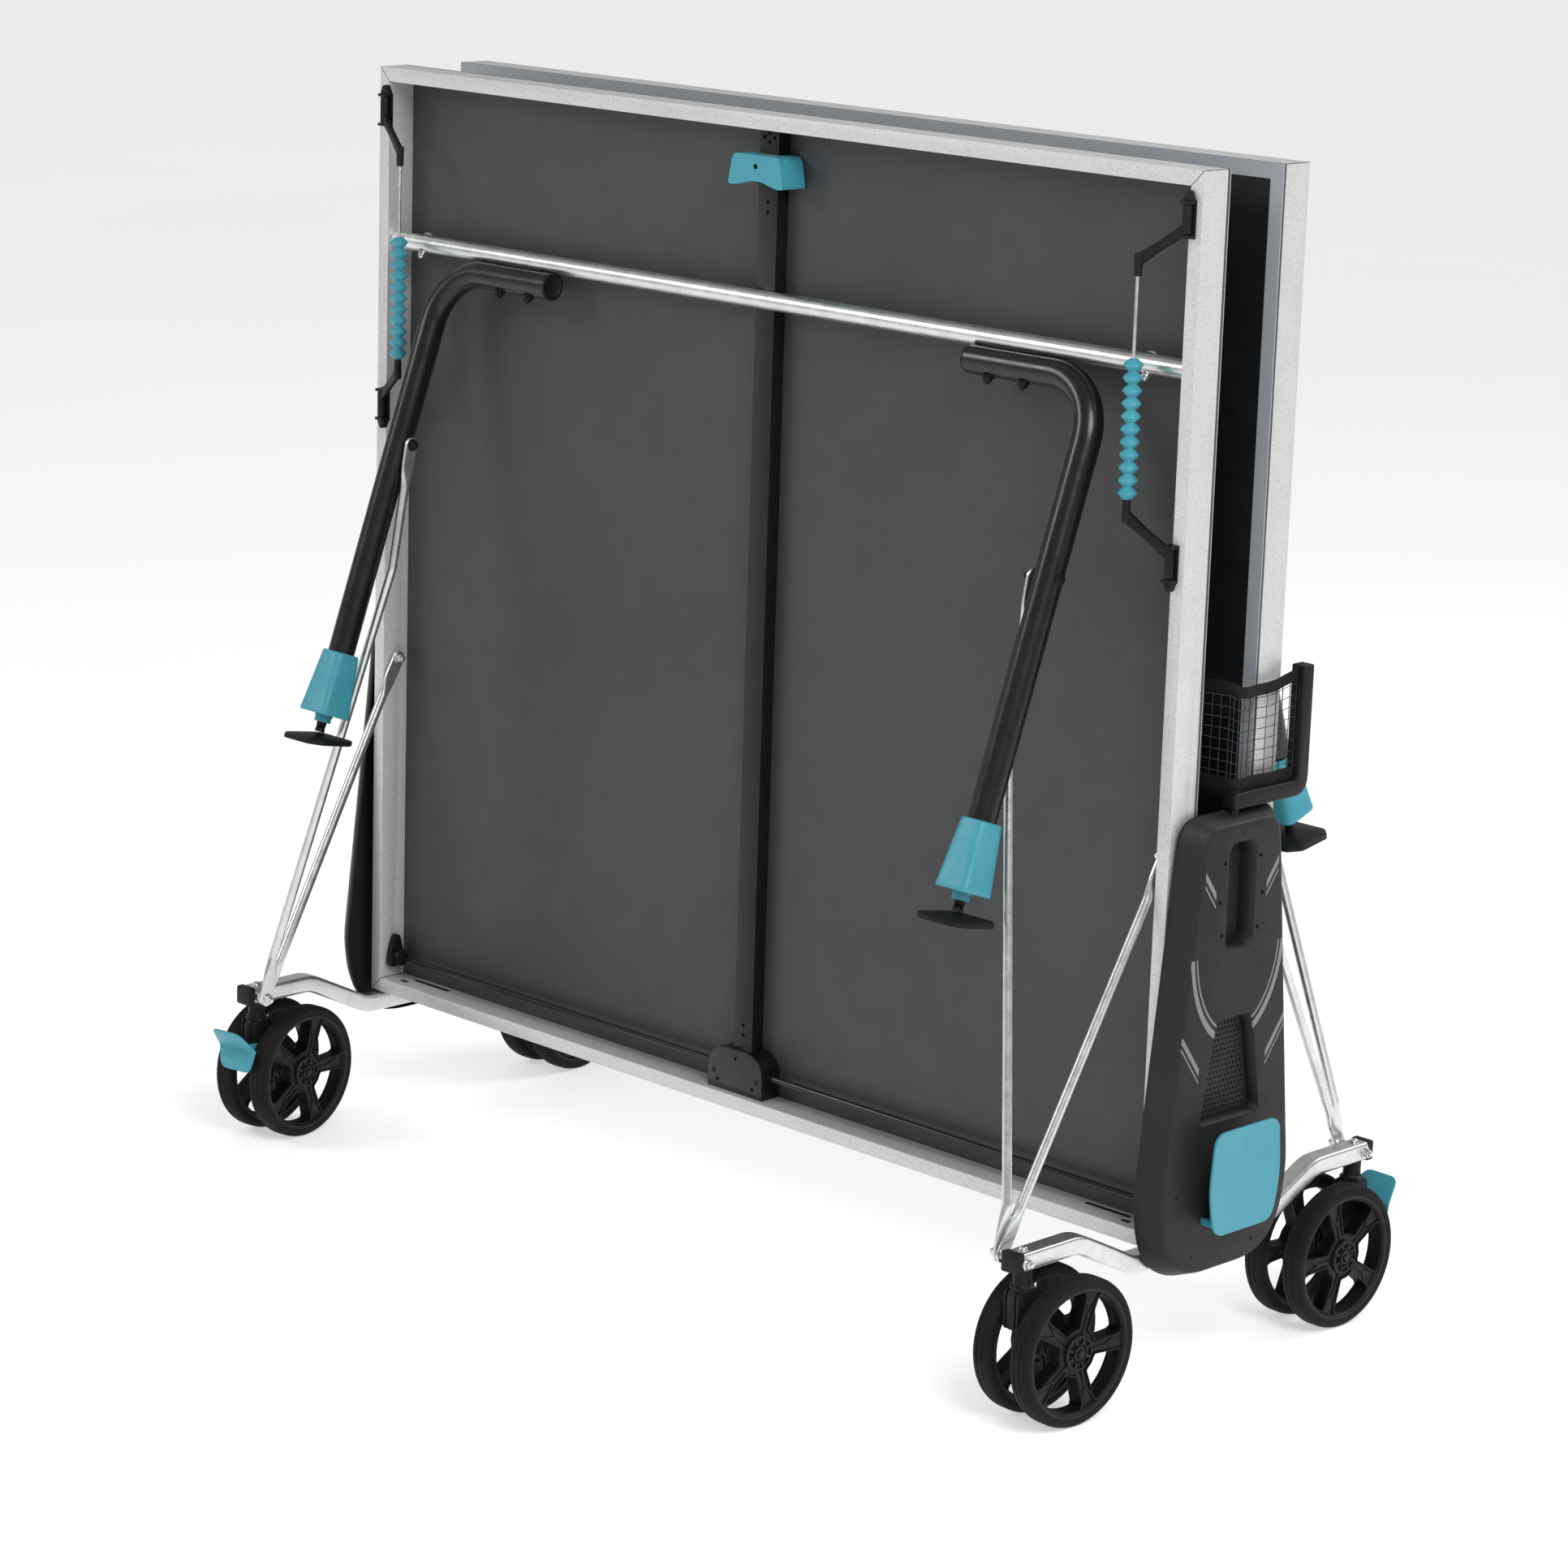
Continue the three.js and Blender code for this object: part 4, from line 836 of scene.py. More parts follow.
@dataclass
class Half:
    """One playing half with its legs and struts, modelled as the front half and turned for the rear."""

    fasteners: Fasteners
    name: str
    apron_y: float = -101.4
    beam_y: float = -77.2
    lock_box_y: float = -91.0
    low: float = 185.0
    high: float = 1555.0
    axle: Point2 = (-85.0, 1309.0)
    leg_top: Point2 = (-99.44, 1280.67)
    lean: float = math.radians(19.6)
    leg_diameter: float = 38.0
    leg_spread: float = 615.5
    leg_inner: float = 392.0
    bend: float = 78.0
    leg_reach: float = 694.94
    shroud_end: float = 655.94
    rod: Point2 = (-75.2, 235.5)
    rod_end: float = 767.5
    axle_end: float = 742.2
    latch_place: Point3 = (-741.8, -76.0, 236.0)
    pad_tilt: float = math.radians(10)
    carriage_pivot: Point2 = (-338.5, 222.5)
    apron_pivot: Point2 = (-79.2, 692.81)
    strut_diameter: float = 13.0
    eye_width: float = 21.0
    eye_thickness: float = 4.9
    apron_strut_x: Point2 = (723.55, 735.7)
    leg_strut_x: Point2 = (718.35, 589.7)

    @property
    def turn(self) -> Matrix:
        """Where the half stands."""
        return Matrix.Identity(4) if self.name == "front" else HALF_TURN

    def side(self, side: str) -> str:
        """The name of a side after the half is turned."""
        if self.name == "front":
            return side
        return "right" if side == "left" else "left"

    def set(
        self, obj: bpy.types.Object, body: str, finish: Finish, replaces: Sequence[str] = (),
    ) -> bpy.types.Object:
        """Turns a piece with the half and places it."""
        if self.name == "rear":
            obj.data.transform(self.turn)
        return place(obj, body, finish, replaces)

    def on_leg(self, side: int, distance: float) -> Vector:
        """A place on the leg's line below its top bar."""
        y, z = self.leg_top
        return Vector((
            side * self.leg_spread, y - distance * math.sin(self.lean), z - distance * math.cos(self.lean)))

    def build(self) -> None:
        """Builds and dresses the whole half."""
        self.panel()
        self.beam()
        self.handle()
        self.rods()
        for side, sign in SIDES:
            self.leg(side, sign)
            self.foot(side, sign)
            self.struts(side, sign)

    def panel(self) -> None:
        """The laminate, its apron and the small fittings inside it: the latch, and near-black blocks of
        painted shade that stand in for slots in the apron.
        """
        name = self.name
        body = f"table_{name}"
        dress(f"table_top_{name}", Finish.LAMINATE)
        apron = Bench.from_cad(f"apron_frame_{name}", f"apron_{name}", 1.3, 3)
        place(apron, body, Finish.APRON, [f"apron_frame_{name}"])
        # near-black blocks that stand in for the shade inside the apron's slots: painted shade
        slot_shade_blocks = []
        for side in (-1, 1):
            for reach, width, y in ((664, 76, -68), (708, 14, -84)):
                x = side * reach
                slot_shade_blocks.append(Bench.block(
                    "slot", (x - width / 2, y - 3.5, self.low + 19.4),
                    (x + width / 2, y + 3.5, self.low + 20.4), 0.3))
        self.set(Bench.join(f"apron_slots_{name}", slot_shade_blocks), body, Finish.BLACK)
        self.latch()

    def latch(self) -> None:
        """The pear-shaped latch with its hook, beside the guide rod."""
        x, y, z = self.latch_place
        pear = rounded([
            (y - 17, z - 15, 12), (y + 15, z - 15, 12), (y + 12, z + 10, 8), (y + 5, z + 34, 5),
            (y - 6, z + 34, 5), (y - 14, z + 10, 8),
        ], 5)
        plate = Bench.slab("latch_plate", pear, Plane.YZ, x, x + 9, 1.8, 3)
        knob = Bench.bar("latch_knob", (x + 7, y, z), (x + 21, y, z), 24, 32, 2.2)
        hook = Bench.slab("latch_hook", rounded([
            (y - 20, z - 6, 3), (y - 8, z - 12, 3), (y - 8, z + 4, 3), (y - 20, z + 8, 3),
        ], 3), Plane.YZ, x + 9, x + 16, 1)
        button = Bench.bar("latch_button", (x + 20, y, z), (x + 23, y, z), 11, 24, 0.8)
        latch = Bench.join(f"latch_{self.name}", [plate, knob, hook, button])
        self.set(latch, f"table_{self.name}", Finish.BLACK)

    def beam(self) -> None:
        """The centre beam with its lock box, holes and screws; each hole is a near-black disc of painted
        shade.
        """
        body = f"table_{self.name}"
        beam = Bench.from_cad(f"centre_beam_{self.name}", f"beam_{self.name}", 1.6, 3)
        place(beam, body, Finish.BLACK_PAINT, [f"centre_beam_{self.name}"])
        kit, out = self.fasteners, (0, -1, 0)
        spots = [(0, z) for z in (1529, 1517, 1438, 1424, 300, 286)] + [(-9, 1523), (9, 1523)]
        # near-black discs of painted shade stand in for the holes
        holes = [kit.put(kit.hole, "hole", (x, self.beam_y, z), out) for x, z in spots]
        for x, z in ((-34, 218), (34, 218), (0, 255)):
            holes.append(kit.put(kit.hole, "hole", (x, self.lock_box_y, z), out))
        self.set(Bench.join(f"beam_holes_{self.name}", holes), body, Finish.HOLE)
        rims = [
            kit.put(kit.small, "rim", (x, self.lock_box_y, z), out)
            for x, z in ((-42, 229), (42, 229))
        ]
        self.set(Bench.join(f"lock_screws_{self.name}", rims), body, Finish.BLACK)

    def handle(self) -> None:
        """The release handle: a notched grip that wraps round the beam."""
        top = self.high - 54
        bottom = top - 42
        front = self.apron_y - 0.8
        body = Bench.slab("grip", rounded([
            (-43, top, 9), (-51.5, bottom, 6), (-34, bottom + 0.6, 10), (0, bottom + 12, 26),
            (34, bottom + 0.6, 10), (51.5, bottom, 6), (43, top, 9),
        ], 6), Plane.XZ, -(front + 43), -front, 0)
        slot = Bench.block("slot", (-18.3, -77.9, bottom - 9), (18.3, -40, top + 9), 0)
        Bench.soften(Bench.cut(body, slot), 2.4, 3, SHARP_DEGREES)
        self.set(
            Bench.join(f"handle_{self.name}", [body]), f"release_handle_{self.name}", Finish.TEAL,
            [f"release_handle_{self.name}"])
        # a near-black disc of painted shade stands in for the hole through the grip
        hole = Bench.bar("hole", (0, front + 1, 1486), (0, front - 0.15, 1486), 7, 20, 0)
        self.set(
            Bench.join(f"handle_hole_{self.name}", [hole]), f"release_handle_{self.name}", Finish.HOLE)

    def rods(self) -> None:
        """The guide rod with its end rollers, and the leg axle."""
        y, z = self.rod
        rod = Bench.bar("rod", (-self.rod_end, y, z), (self.rod_end, y, z), 10, 32, 0.6)
        rollers = [
            Bench.bar("roller", (side * 767.2, y, z), (side * 775, y, z), 14, 32, 1) for side in (-1, 1)]
        self.set(
            Bench.join(f"rod_{self.name}", [rod, *rollers]), f"guide_rod_{self.name}", Finish.BLACK_PAINT,
            [f"guide_rod_{self.name}"])
        y, z = self.axle
        outer = self.axle_end
        ring = [(12.5, -outer), (12.5, outer), (11, outer), (11, -outer), (12.5, -outer)]
        axle = Bench.turned(f"axle_{self.name}", ring, 40)
        axle.data.transform(at(0, y, z) @ Matrix.Rotation(math.pi / 2, 4, "Y"))
        self.set(axle, f"legs_{self.name}", Finish.ZINC, [f"leg_axle_{self.name}"])

    def leg(self, side: str, sign: int) -> None:
        """One bent leg with its end cap and bolts."""
        suffix = f"{self.name}_{self.side(side)}"
        body = f"legs_{self.name}"
        y, z = self.leg_top
        run = bent([
            Vector((sign * (self.leg_inner + 4), y, z)), self.on_leg(sign, 0),
            self.on_leg(sign, self.shroud_end - 16),
        ], self.bend, 16)
        tube = Bench.tube(f"leg_tube_{suffix}", run, self.leg_diameter, 40)
        self.set(tube, body, Finish.BLACK_PAINT, [f"leg_{suffix}"])
        cap = Bench.turned("cap", [
            (0, 1.6), (13.5, 1.6), (14.6, 2.6), (15.4, 4.0), (18.2, 4.0), (19, 3.0), (19, 0), (0, 0),
        ], 40)
        cap.data.transform(
            at(sign * (self.leg_inner + 4), y, z) @ Matrix.Rotation(-sign * math.pi / 2, 4, "Y"))
        if sign > 0:
            Bench.outward(cap)
        dimple = Bench.bar(
            "dimple", tuple(self.on_leg(sign, 252) + Vector((sign * 17, 0, 0))),
            tuple(self.on_leg(sign, 252) + Vector((sign * 20.6, 0, 0))), 17, 24, 1.6)
        self.set(Bench.join(f"leg_cap_{suffix}", [cap, dimple]), body, Finish.BLACK)
        reach = (self.leg_diameter / 2) - 0.4
        way = Vector((0, -math.sin(math.radians(27)), -math.cos(math.radians(27))))
        nuts, heads = [], []
        for x in (433, 493):
            seat = Vector((sign * x, y, z)) + way * reach
            nuts.append(self.fasteners.put(self.fasteners.nut, "nut", tuple(seat), tuple(way)))
        middle = (Vector((sign * 463, *self.axle)) + Vector((sign * 463, y, z))) / 2 - way * 3
        saddle = Bench.block("saddle", (-44, -9, -1.6), (44, 9, 1.6), 1.2, 3)
        saddle.data.transform(at(*middle) @ way.to_track_quat("Z", "Y").to_matrix().to_4x4())
        nuts.append(saddle)
        for tip, pattern in ((12.2, self.fasteners.nut), (-12.2, self.fasteners.dome)):
            seat = Vector((sign * 678, *self.axle)) + way * tip
            outward = tuple(way * math.copysign(1, tip))
            heads.append(self.fasteners.put(pattern, "head", tuple(seat), outward))
        self.set(Bench.join(f"leg_nuts_{suffix}", nuts), body, Finish.BLACK)
        self.set(Bench.join(f"leg_bolts_{suffix}", heads), body, Finish.BOLT)

    def foot(self, side: str, sign: int) -> None:
        """The shroud, its collar and stem, and the tilting pad."""
        suffix = f"{self.name}_{self.side(side)}"
        where = at(*self.on_leg(sign, self.shroud_end)) @ Matrix.Rotation(-self.lean, 4, "X")
        rings = []
        levels = (
            (0.0, 53.5, 10.0), (1.6, 55.6, 11.0), (5.5, 56.0, 11.5), (6.5, 55.2, 11.5), (40.0, 50.6, 13.0),
            (84.0, 45.0, 15.0), (88.6, 44.0, 15.0), (90.4, 42.6, 14.5), (91.0, 40.6, 14.0),
            (90.8, 38.8, 19.3), (84.0, 38.8, 19.3),
        )
        for height, width, corner in levels:
            half = width / 2
            square = rounded([
                (-half, -half, corner), (half, -half, corner), (half, half, corner), (-half, half, corner),
            ], 6)
            rings.append([Vector((u, v, height)) for u, v in square])
        shell = Bench.loft("shell", rings)
        collar = Bench.turned("collar", [
            (0, 0.6), (13, 0.6), (13, -3), (11.6, -4), (12.2, -9.6), (11.0, -11), (0, -11),
        ], 12)
        shroud = Bench.join(f"shroud_{suffix}", [shell, collar])
        shroud.data.transform(where)
        self.set(shroud, f"legs_{self.name}", Finish.TEAL, [f"foot_shroud_{suffix}"])
        stem = Bench.turned(f"foot_stem_{suffix}", [
            (0, -10.6), (7, -10.6), (7, -15), (6.2, -16), (7, -17), (6.2, -18), (7, -19), (6.2, -20),
            (7, -21), (7, -25), (0, -25),
        ], 24)
        stem.data.transform(where)
        self.set(stem, f"legs_{self.name}", Finish.BLACK)

        pad_rings = []
        pad_levels = (
            (-12, 0.97), (-11, 1.0), (-6.2, 0.995), (-5.2, 0.965), (-1.4, 0.46), (-0.4, 0.34), (0, 0.26),
        )
        for height, share in pad_levels:
            half = 42.0 * share
            short = half * 26 / 42
            corners = [
                (-short, -half, 5 * share), (short, -half, 5 * share), (half, -short, 5 * share),
                (half, short, 5 * share), (short, half, 5 * share), (-short, half, 5 * share),
                (-half, short, 5 * share), (-half, -short, 5 * share),
            ]
            pad_rings.append([Vector((u, v, height)) for u, v in rounded(corners, 3)])
        pad = Bench.loft(f"pad_{suffix}", pad_rings)
        tilt = Matrix.Rotation(-self.pad_tilt, 4, "X")
        pad.data.transform(at(*self.on_leg(sign, self.leg_reach - 12)) @ tilt)
        node = f"foot_pad_{suffix}"
        self.set(pad, node, Finish.BLACK, [node])

    def strut(self, name: str, low: Vector, high: Vector, high_bend: float) -> bpy.types.Object:
        """A tube whose ends are pressed flat into eyes.

        Args:
            name: Name of the piece.
            low: The lower pivot.
            high: The upper pivot.
            high_bend: Distance from the upper pivot to the strut's upper bend.

        Returns:
            The strut.
        """
        along = Vector((0, high.y - low.y, high.z - low.z)).normalized()
        corners = [low, low + along * 61, high - along * high_bend, high]
        line = bent(corners, 40, 8)
        places, total = [0.0], 0.0
        for before, after in zip(line, line[1:]):
            total += (after - before).length
            places.append(total)

        def spot(distance: float) -> Vector:
            """The place at a distance along the strut, also beyond its pivots."""
            if distance <= 0:
                return low + along * distance
            if distance >= total:
                return high + along * (distance - total)
            i = max(k for k, value in enumerate(places) if value <= distance)
            share = (distance - places[i]) / max(places[i + 1] - places[i], 1e-9)
            return line[i].lerp(line[i + 1], share)

        half = self.eye_width / 2
        tip_angles = (0.12, 0.35, 0.65, 1.0, 1.3, math.pi / 2)
        ends = [(-half * math.cos(a), half * math.sin(a), 0.0) for a in tip_angles]
        ends += [
            (28, half, 0.0), (36, half * 0.97, 0.12), (44, half * 0.86, 0.4), (52, half * 0.73, 0.75),
            (60, self.strut_diameter / 2, 1.0),
        ]
        stations = list(ends)
        stations += [(p, self.strut_diameter / 2, 1.0) for p in places if 62 < p < total - 62]
        stations += [(total - s, w, r) for s, w, r in reversed(ends)]
        normal = Vector((1, 0, 0))
        across = along.cross(normal).normalized()
        rings = []
        for distance, reach, roundness in stations:
            thick = self.eye_thickness / 2 * (1 - roundness) + self.strut_diameter / 2 * roundness
            power = 0.35 + 0.65 * roundness
            ring = []
            for k in range(20):
                a = 2 * math.pi * k / 20
                c, s = math.cos(a), math.sin(a)
                u = math.copysign(abs(c) ** power, c) * reach
                v = math.copysign(abs(s) ** power, s) * thick
                ring.append(spot(distance) + across * u + normal * v)
            rings.append(ring)
        return Bench.loft(name, rings)

    def struts(self, side: str, sign: int) -> None:
        """The apron strut and the leg strut of one side with their bolts."""
        suffix = f"{self.name}_{self.side(side)}"
        low_y, low_z = self.carriage_pivot
        high = Vector((sign * self.apron_strut_x[1], *self.apron_pivot))
        apron = self.strut(
            f"apron_rod_{suffix}", Vector((sign * self.apron_strut_x[0], low_y, low_z)), high, 61)
        self.set(apron, f"apron_struts_{self.name}", Finish.ZINC, [f"apron_strut_{suffix}"])
        upper = self.on_leg(sign, 255.0)
        upper.x = sign * self.leg_strut_x[1]
        leg = self.strut(
            f"leg_rod_{suffix}", Vector((sign * self.leg_strut_x[0], low_y, low_z)), upper, 178)
        self.set(leg, f"leg_struts_{self.name}", Finish.ZINC, [f"leg_strut_{suffix}"])
        put, kit = self.fasteners.put, self.fasteners
        inward = (-sign, 0, 0)
        apron_nut = put(kit.nut, "nut", (high.x - sign * 2.3, high.y, high.z), inward)
        self.set(
            Bench.join(f"apron_strut_bolt_{suffix}", [apron_nut]), f"apron_struts_{self.name}", Finish.BOLT)
        leg_nut = put(kit.nut, "nut", (upper.x - sign * 2.3, upper.y, upper.z), inward)
        self.set(
            Bench.join(f"leg_strut_bolt_{suffix}", [leg_nut]), f"leg_struts_{self.name}", Finish.BLACK)
        low_nut = put(kit.nut, "nut", (sign * (self.leg_strut_x[0] - 2.3), low_y, low_z), inward)
        spacer = Bench.bar(
            "spacer", (sign * 726.2, low_y, low_z), (sign * 737.3, low_y, low_z), 15, 24, 0.8)
        self.set(Bench.join(f"pivot_bolt_{suffix}", [low_nut, spacer]), "carriage", Finish.BOLT)


# ------------------------------------------------------------------ score counters


@dataclass
class Counter:
    """A score counter: a wire on two clipped arms with eleven beads."""

    side: str
    sign: int
    hinge: Point2 = (744.5, -108.4)
    rod: Point2 = (687.5, -127.4)
    top: float = 1495.0
    bottom: float = 1071.0
    rise: float = 62.0
    beads: int = 11
    bead_pitch: float = 15.9
    beads_low: float = 1145.6

    def build(self) -> None:
        """Builds the arms, the wire and the beads."""
        sign = self.sign
        rod_x, rod_y = sign * self.rod[0], self.rod[1]
        arms, clips = [], []
        for hinge, way in ((self.top, -1), (self.bottom, 1)):
            arms += self.arm(hinge, way)
            clips += self.clip(hinge, way)
        place(Bench.join(f"counter_clips_{self.side}", clips), "table_front", Finish.BLACK)
        body = f"counter_frame_{self.side}"
        place(Bench.join(f"counter_arms_{self.side}", arms), body, Finish.BLACK, [body])
        low, high = self.bottom + self.rise - 4, self.top - self.rise + 4
        wire = Bench.bar(
            f"counter_wire_{self.side}", (rod_x, rod_y, low), (rod_x, rod_y, high), 4.6, 20, 0.4)
        place(wire, body, Finish.ZINC)
        profile: list[Point2] = [(2.9, 0.0)]
        for i in range(self.beads):
            middle = (i + 0.5) * self.bead_pitch
            for step in range(13):
                across = step / 6 - 1
                reach = 5.4 + 7.1 * (1 - abs(across) ** 1.3)
                profile.append((reach, middle + 7.8 * across))
        profile += [(2.9, self.beads * self.bead_pitch), (2.9, 0.0)]
        beads = Bench.turned(f"beads_{self.side}", profile, 32)
        beads.data.transform(at(rod_x, rod_y, self.beads_low))
        place(beads, f"counter_beads_{self.side}", Finish.TEAL, [f"counter_beads_{self.side}"])

    def clip(self, hinge: float, way: int) -> list[bpy.types.Object]:
        """The clip on the apron that holds an arm's barrel."""
        hx, hy = self.sign * self.hinge[0], self.hinge[1]
        plate = Bench.block("plate", (hx - 9, hy + 6.3, hinge - 24), (hx + 9, hy + 8.6, hinge + 24), 0.8)
        lugs = [
            Bench.block("lug", (hx - 8, hy - 6.5, z - 2.2), (hx + 8, hy + 7, z + 2.2), 1.2, 3)
            for z in (hinge - 20.8, hinge + 20.8)]
        peak = Bench.slab("peak", rounded([
            (hx - 8, hinge - way * 22), (hx + 8, hinge - way * 22), (hx + 2.5, hinge - way * 35, 2),
            (hx - 2.5, hinge - way * 35, 2),
        ], 3), Plane.XZ, -(hy + 8.4), -(hy - 2), 0.8)
        return [plate, peak, *lugs]

    def arm(self, hinge: float, way: int) -> list[bpy.types.Object]:
        """One arm with its barrel and its socket on the wire."""
        sign = self.sign
        hx, hy = sign * self.hinge[0], self.hinge[1]
        rx, ry = sign * self.rod[0], self.rod[1]
        elbow = hinge + way * self.rise
        barrel = Bench.bar("barrel", (hx, hy, hinge - 18), (hx, hy, hinge + 18), 12, 24, 1)
        rings = []
        for share in (0.0, 0.12, 0.5, 0.88, 1.0):
            x, y = hx + (rx - hx) * share, hy + (ry - hy) * share
            z = hinge + way * 11 + (elbow - way * 8 - hinge - way * 11) * share
            tall = 8.5 - 2.2 * math.sin(math.pi * share)
            rings.append([
                Vector((x, y + u, z + v)) for u, v in rounded(
                    [(-4, -tall, 1.6), (4, -tall, 1.6), (4, tall, 1.6), (-4, tall, 1.6)], 2)])
        beam = Bench.loft("beam", rings)
        socket = Bench.bar(
            "socket", (rx, ry, elbow - way * 16), (rx, ry, elbow + way * 11.6), 11, 24, 1.2, 10)
        return [barrel, beam, socket]


# ------------------------------------------------------------------ carriage


@dataclass
class Housing:
    """An end housing with its ball slot, perforated recess, screws and bat holder."""

    fasteners: Fasteners
    side: str
    sign: int
    back: float = 768.0
    front: float = 800.0
    bottom: float = 141.0
    top: float = 749.0
    wall: float = 3.0
    low_width: float = 290.0
    high_width: float = 183.0
    taper: float = 21.0
    shoulder: float = 122.0
    slot_depth: float = 24.0
    grille_depth: float = 16.0
    plate_x: float = 829.3

    def ring(self, x: float, inset: float) -> list[Vector]:
        """The housing's outline at one depth, standing in by an inset."""
        low = self.low_width / 2 - inset
        high = self.high_width / 2 - inset
        bottom = self.bottom + inset * 0.5
        top = self.top - inset * 0.6
        edge = self.bottom + self.shoulder
        turn = 94 - inset * 0.75
        points = rounded([
            (-low * 0.88, bottom, turn), (low * 0.88, bottom, turn), (low, edge, 20), (high, top, 34),
            (-high, top, 34), (-low, edge, 20),
        ], 12)
        return [Vector((self.sign * x, u, v)) for u, v in points]

    def cup(self, name: str, corners: Sequence[tuple[float, ...]], depth: float) -> bpy.types.Object:
        """A pocket behind an opening in the front face.

        Args:
            name: Name of the piece.
            corners: The opening's outline (y, z, setback).
            depth: How deep it is.

        Returns:
            The pocket's wall, closed at its back.
        """
        middle_u = sum(c[0] for c in corners) / len(corners)
        middle_v = sum(c[1] for c in corners) / len(corners)

        def ring(x: float, grow: float) -> list[Vector]:
            """The opening's outline at one depth, grown by a width."""
            grown = [
                (u + math.copysign(grow, u - middle_u), v + math.copysign(grow, v - middle_v), setback)
                for u, v, setback in corners]
            return [Vector((self.sign * x, u, v)) for u, v in rounded(grown, 6)]

        floor = self.front - depth
        return Bench.loft(name, [
            ring(floor, -0.6), ring(floor + 1.2, 0), ring(self.front - 7, 0.2), ring(self.front - 2.4, 3.0),
            ring(self.front - 0.2, 4.2), ring(self.front - 0.1, 4.9), ring(self.front - 2.6, 5.6),
            ring(self.front - 7, 2.6), ring(floor - 2, 2.4),
        ])

    def build(self) -> None:
        """Builds the housing and what is on it."""
        rings = [
            self.ring(self.front - self.wall, self.taper + self.wall + 1),
            self.ring(self.back + 4, self.wall), self.ring(self.back, self.wall - 0.4),
            self.ring(self.back, 0.4), self.ring(self.back + 0.6, 0), self.ring(self.back + 4.6, 0),
            self.ring(self.back + 6, 0.8),
            self.ring(self.front - 4.2, self.taper - 4.4), self.ring(self.front - 1.6, self.taper - 1.6),
            self.ring(self.front - 0.5, self.taper + 0.4), self.ring(self.front, self.taper + 3),
        ]
        shell = Bench.loft("shell", rings)
        slot = [(-23, 576, 17), (23, 576, 17), (23, 710, 17), (-23, 710, 17)]
        grille = [(-56, 352, 12), (56, 352, 12), (31, 480, 13), (-31, 480, 13)]
        cutters = []
        for corners in (slot, grille):
            grown = [(u + math.copysign(4.9, u), v + (4.9 if i > 1 else -4.9), s)
                     for i, (u, v, s) in enumerate(corners)]
            start, end = sorted((self.sign * (self.front - 8), self.sign * (self.front + 4)))
            cutters.append(Bench.slab("cutter", rounded(grown, 6), Plane.YZ, start, end, 0))
        pin_x = self.sign * 779.5
        cutters.append(Bench.bar("cutter", (pin_x, 0, 730), (pin_x, 0, 760), 15, 24, 0))
        Bench.smooth(Bench.cut(shell, *cutters), 30)
        chute = self.cup("chute", slot, self.slot_depth)
        pan = self.cup("pan", grille, self.grille_depth)
        housing = Bench.join(f"housing_{self.side}", [shell, chute, pan])
        place(housing, "carriage", Finish.CHARCOAL, [f"end_housing_{self.side}"])
        self.trim()
        self.bat_holder()

    def trim(self) -> None:
        """The perforation, the screws and the small holes; the perforation and the holes are near-black
        discs of painted shade.
        """
        way = (self.sign, 0, 0)
        floor = self.sign * (self.front - 15.9)
        holes = []
        # each perforation hole is a near-black disc of painted shade
        pattern = Bench.bar("perforation", (0, 0, -0.4), (0, 0, 0.25), 2.9, 8, 0)
        for row in range(17):
            z = 360.0 + row * 7
            reach = 52 - (z - 352) * 25 / 128
            count = int(reach // 7)
            for column in range(-count, count + 1):
                y = column * 7 + (3.5 if row % 2 else 0)
                if abs(y) < reach - 2:
                    holes.append(self.fasteners.put(pattern, "perforation", (floor, y, z), way))
        bpy.data.objects.remove(pattern)
        face = self.sign * self.front
        # the small holes as near-black discs of painted shade
        for y, z in ((-35, 690), (35, 690), (-35, 596), (35, 596), (-42, 640), (42, 640)):
            holes.append(self.fasteners.put(self.fasteners.hole, "hole", (face, y, z), way))
        place(Bench.join(f"housing_holes_{self.side}", holes), "carriage", Finish.HOLE)
        screws = [
            self.fasteners.put(self.fasteners.small, "screw", (face - self.sign * 0.4, y, z), way)
            for y, z in ((-60, 173.5), (60, 173.5), (0, 724), (-98, 262), (98, 262))
        ]
        place(Bench.join(f"housing_screws_{self.side}", screws), "carriage", Finish.BLACK)

    def bat_holder(self) -> None:
        """The plate that holds a bat against the housing, and its shelf."""
        x0 = self.plate_x
        outline = [
            (-58, 209, 20), (58, 209, 20), (70.6, 268, 26), (63, 347, 20), (-63, 347, 20), (-70.6, 268, 26),
        ]
        rings = []
        for x, inset in ((x0, 0.6), (x0 + 0.7, 0), (x0 + 3.2, 0), (x0 + 3.9, 1.0), (x0 + 3.4, 3.2)):
            grown = [(u - math.copysign(inset, u), v + (inset if v < 250 else -inset if v > 300 else 0), s)
                     for u, v, s in outline]
            rings.append([Vector((self.sign * x, u, v)) for u, v in rounded(grown, 10)])
        plate = Bench.loft("plate", rings)
        start, end = sorted((self.sign * 800.6, self.sign * 830))
        shelf = Bench.slab("shelf", rounded([
            (-47, 215, 5), (47, 215, 5), (47, 225, 4), (20, 219.5, 8), (-20, 219.5, 8), (-47, 225, 4),
        ], 4), Plane.YZ, start, end, 1.0)
        wings = []
        for way in (-1, 1):
            wings.append(Bench.slab("wing", rounded([
                (way * 30, 214.6, 2), (way * 46, 214.6, 5), (way * 47.5, 225.5, 3), (way * 44, 225.5, 2),
                (way * 40, 219, 4), (way * 30, 219, 1),
            ], 4), Plane.YZ, start, end, 0.8))
        holder = Bench.join(f"bat_plate_{self.side}", [plate, shelf, *wings])
        place(holder, "carriage", Finish.TEAL, [f"bat_holder_{self.side}"])


